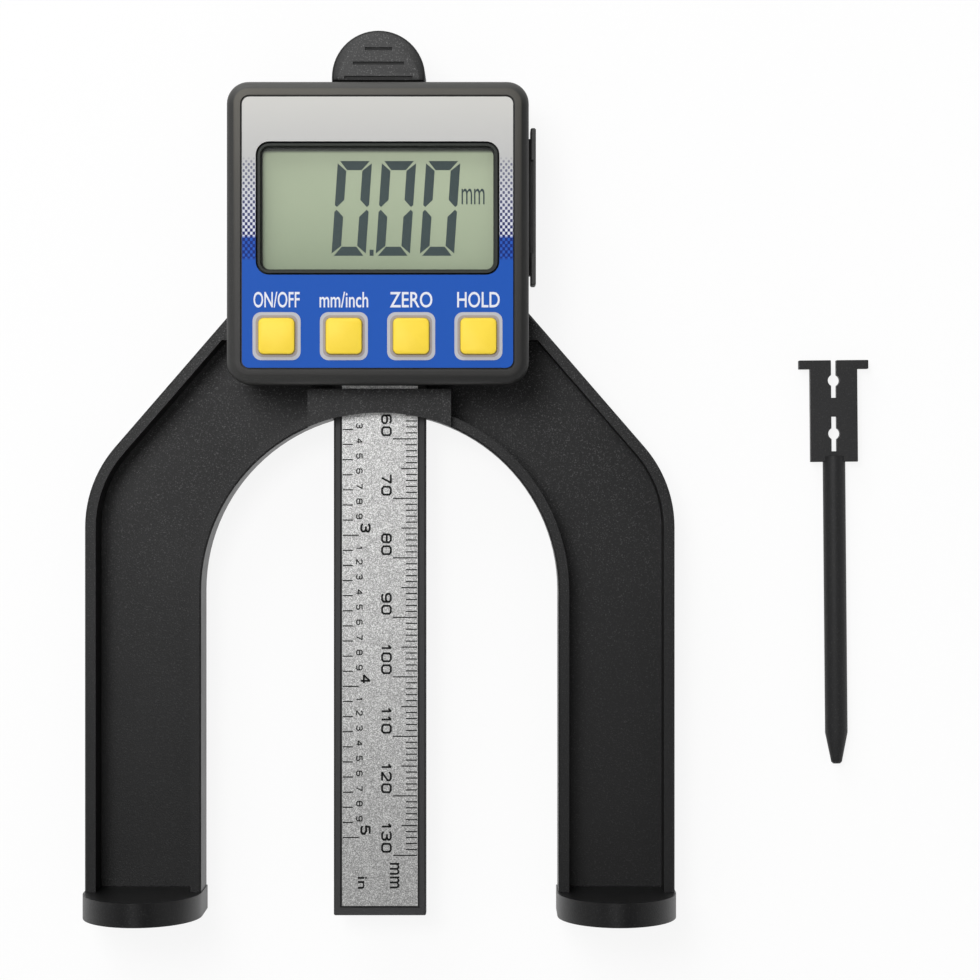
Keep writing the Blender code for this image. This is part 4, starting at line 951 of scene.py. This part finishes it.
PLATE_COLOUR = (146, 146, 145)
PLATE_DARK_COLOUR = (104, 104, 104)
PLATE_LIGHT_COLOUR = (206, 206, 205)
PLATE_GRAIN = 0.00017
PLATE_GRAIN_DEPTH = 0.000008
PLATE_CLOUD = 0.003
DARK_GRAIN_LEVELS = (0.50, 0.36)
LIGHT_GRAIN_LEVELS = (0.52, 0.66)
MARK_COLOUR = (22, 22, 22)
MARK_WIDTH = 0.0002
MILLIMETRE = 0.001
INCH = 0.0254
SCALE_ZERO = FEET_PLANE + 0.1401
LAST_MILLIMETRE = 130
LAST_TENTH = 50
MILLIMETRE_MARK = 0.0019
FIVE_MARK = 0.00265
TEN_MARK = 0.00405
TENTH_MARK = 0.0017
INCH_MARK = 0.0027
EDGE_MARGIN = 0.0001
MILLIMETRE_FIGURES = {"left": 0.0002, "tall": 0.0018, "wide": 0.00165, "stroke": 0.00033, "lift": 0.00045}
TENTH_FIGURES = {"left": -0.0040, "tall": 0.0011, "wide": 0.00094, "stroke": 0.00019, "lift": 0.00015}
INCH_FIGURES = {"left": -0.0033, "tall": 0.00175, "wide": 0.0016, "stroke": 0.00034, "lift": 0.00045}
UNIT_WORDS = (
    ("mm", (0.00166, FEET_PLANE + 0.00455), (0.0033, FEET_PLANE + 0.00884)),
    ("in", (-0.0037, FEET_PLANE + 0.00447), (-0.0022, FEET_PLANE + 0.00653)),
)
FIGURE_GAP = 0.00036
NARROW_ONE_SHARE = 0.62
CORNER_OVERRUN_SHARE = 0.4
LOOP = [(0.25, 0), (0.75, 0), (1, 0.16), (1, 0.84), (0.75, 1), (0.25, 1), (0, 0.84), (0, 0.16), (0.25, 0)]
SIX = [(0.95, 0.9), (0.75, 1), (0.25, 1), (0, 0.84), (0, 0.16), (0.25, 0), (0.75, 0), (1, 0.16), (1, 0.42)]
LOWER_BOWL = [(0.7, 0.55), (1, 0.4), (1, 0.15), (0.75, 0), (0.25, 0), (0, 0.14)]
STROKES = {
    "0": [LOOP],
    "1": [[(0.1, 0.75), (0.7, 1), (0.7, 0)]],
    "2": [[(0, 0.84), (0.25, 1), (0.75, 1), (1, 0.84), (1, 0.62), (0, 0), (1, 0)]],
    "3": [[(0, 0.88), (0.25, 1), (0.75, 1), (1, 0.85), (1, 0.68), (0.7, 0.55), (0.35, 0.55)], LOWER_BOWL],
    "4": [[(0.75, 0), (0.75, 1), (0, 0.3), (1, 0.3)]],
    "5": [[(0.95, 1), (0.1, 1), (0, 0.55), (0.7, 0.6)], LOWER_BOWL],
    "6": [SIX + [(0.75, 0.57), (0.25, 0.57), (0, 0.42)]],
    "7": [[(0, 1), (1, 1), (0.4, 0)]],
    "8": [LOOP, [(0, 0.53), (1, 0.53)]],
    "9": [[(1 - x, 1 - y) for x, y in SIX] + [(0.25, 0.43), (0.75, 0.43), (1, 0.58)]],
}


def frosted_plate():
    finish = Finish("frosted_silver_plate", Metallic=0.6)
    place = finish.place()
    grain = finish.noise(place, PLATE_GRAIN, detail=3, roughness=0.7)
    cloud = finish.noise(place, PLATE_CLOUD)
    dark = finish.rise(grain, *DARK_GRAIN_LEVELS)
    light = finish.rise(grain, *LIGHT_GRAIN_LEVELS)
    colour = finish.mix(dark, seen(*PLATE_COLOUR), seen(*PLATE_DARK_COLOUR))
    finish.set("Base Color", finish.mix(light, colour, seen(*PLATE_LIGHT_COLOUR)))
    finish.roughen(cloud, middle=0.3, spread=0.1)
    finish.bump(grain, PLATE_GRAIN_DEPTH)
    return finish


def bar(shape, start, end, width, back, overrun=0):
    """A straight engraved stroke between two points of the plate."""
    start, end = Vector(start), Vector(end)
    along = end - start
    made = bmesh.ops.create_cube(shape, size=1)["verts"]
    bmesh.ops.scale(shape, vec=(along.length + overrun, width, INK_THICKNESS), verts=made)
    turn = Matrix.Rotation(math.atan2(along.y, along.x), 3, "Z")
    bmesh.ops.rotate(shape, matrix=turn, verts=made)
    bmesh.ops.translate(shape, vec=(*((start + end) / 2), back + INK_THICKNESS / 2), verts=made)


def number(shape, digits, figures, mark_height, back):
    """Squarish figures read from the right-hand side, the last of them just above its mark."""
    stroke = figures["stroke"]
    bottom = mark_height + figures["lift"]
    for digit in reversed(digits):
        wide = figures["wide"] * (NARROW_ONE_SHARE if digit == "1" else 1)
        for line in STROKES[digit]:
            points = [
                (
                    figures["left"] + stroke / 2 + y * (figures["tall"] - stroke),
                    bottom + wide - stroke / 2 - x * (wide - stroke),
                )
                for x, y in line
            ]
            for start, end in zip(points, points[1:]):
                bar(shape, start, end, stroke, back, stroke * CORNER_OVERRUN_SHARE)
        bottom += wide + FIGURE_GAP


def millimetre_mark_length(count):
    if count % 10 == 0:
        return TEN_MARK
    if count % 5 == 0:
        return FIVE_MARK
    return MILLIMETRE_MARK


def marks_on_plate(last, pitch):
    """The count and the height of each mark that lies on the plate."""
    for count in range(1, last + 1):
        height = SCALE_ZERO - count * pitch
        if height <= plate_high.y - MARK_WIDTH:
            yield count, height


dress(frosted_plate(), "scale_plate")
plate_low, plate_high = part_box("scale_plate")
front_of_plate = plate_high.z
right_edge = plate_high.x - EDGE_MARGIN
left_edge = plate_low.x + EDGE_MARGIN
marks = bmesh.new()
for count, height in marks_on_plate(LAST_MILLIMETRE, MILLIMETRE):
    start = (right_edge - millimetre_mark_length(count), height)
    bar(marks, start, (right_edge, height), MARK_WIDTH, front_of_plate)
    if count % 10 == 0:
        number(marks, str(count), MILLIMETRE_FIGURES, height, front_of_plate)
for count, height in marks_on_plate(LAST_TENTH, INCH / 10):
    inches, tenths = divmod(count, 10)
    length = TENTH_MARK if tenths else INCH_MARK
    bar(marks, (left_edge, height), (left_edge + length, height), MARK_WIDTH, front_of_plate)
    if tenths:
        number(marks, str(tenths), TENTH_FIGURES, height, front_of_plate)
    else:
        number(marks, str(inches), INCH_FIGURES, height, front_of_plate)
for words, low, high in UNIT_WORDS:
    words_in_box(marks, words, low, high, front_of_plate, LABEL_WEIGHT_SHARE, turned=True)
printed_piece("graduations", marks, ink("black_mark_ink", MARK_COLOUR), "sliding_beam")


# Pull tab: a half-round grip with three grooves, moulded with a coarse grain.
# It is held on the beam by a screw from behind.

TAB_PLASTIC = {
    "colour": (56, 56, 56),
    "speck_glint_colour": (140, 140, 140),
    "grain": 0.00026,
    "roughness": 0.5,
    "speck_glint_share": 0.6,
    "gloss": 0.3,
}
TAB_EDGE_RADIUS = 0.00006
TAB_SCREW_HEAD_HEIGHT = 0.0009
GROOVE_SHADE_DEPTH = 0.00008
GROOVE_PAINTED_SHADE_COLOUR = (4, 4, 4)
SIDE_PAINTED_SHADE_BAND = 0.0009
SIDE_PAINTED_SHADE_EDGE = 0.0002
SIDE_PAINTED_SHADE_COLOUR = (26, 26, 26)


def tab_finish():
    """The tab's plastic, with painted shade in its grooves and along its round sides."""
    finish = moulded_plastic("grained_tab_plastic", **TAB_PLASTIC)
    low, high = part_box("pull_tab")
    radius = (high.x - low.x) / 2
    centre = Vector(((low.x + high.x) / 2, low.y, high.z))
    place = finish.place()
    across, _, height = finish.along(place)
    # Painted shade: the grooves are painted near-black, and a dark band is painted along the round sides.
    in_groove = finish.rise(height, high.z - GROOVE_SHADE_DEPTH, high.z - GROOVE_SHADE_DEPTH * 2)
    sockets = {0: place, 1: centre}
    reach = finish.add("ShaderNodeVectorMath", {"operation": "DISTANCE"}, sockets, "Value")
    near_rim = finish.rise(reach, radius - SIDE_PAINTED_SHADE_BAND - SIDE_PAINTED_SHADE_EDGE, radius - SIDE_PAINTED_SHADE_BAND)
    to_side = finish.add("ShaderNodeMath", {"operation": "ABSOLUTE"}, {0: across - centre.x})
    in_side_painted_shade = near_rim * finish.rise(to_side, radius / 2, radius)
    side_shaded = finish.mix(in_side_painted_shade, finish.present("Base Color"), seen(*SIDE_PAINTED_SHADE_COLOUR))
    finish.set("Base Color", finish.mix(in_groove, side_shaded, seen(*GROOVE_PAINTED_SHADE_COLOUR)))
    return finish


finished_copy("pull_tab", tab_finish(), TAB_EDGE_RADIUS)
screw_with_cross("tab_screw", TAB_SCREW_HEAD_HEIGHT)


# Depth pin: a loose moulded rod with a blunt point and a slotted clip head.
# It lies beside the gauge and clips into the back of the beam when it is needed.

PIN_EDGE_RADIUS = 0.0001

pin_plastic = moulded_plastic(
    "grained_pin_plastic",
    colour=(27, 27, 28),
    speck_glint_colour=(78, 78, 78),
    grain=FRAME_GRAIN,
    roughness=0.5,
    speck_glint_share=0.35,
    gloss=0.28,
)
finished_copy("depth_pin", pin_plastic, PIN_EDGE_RADIUS)
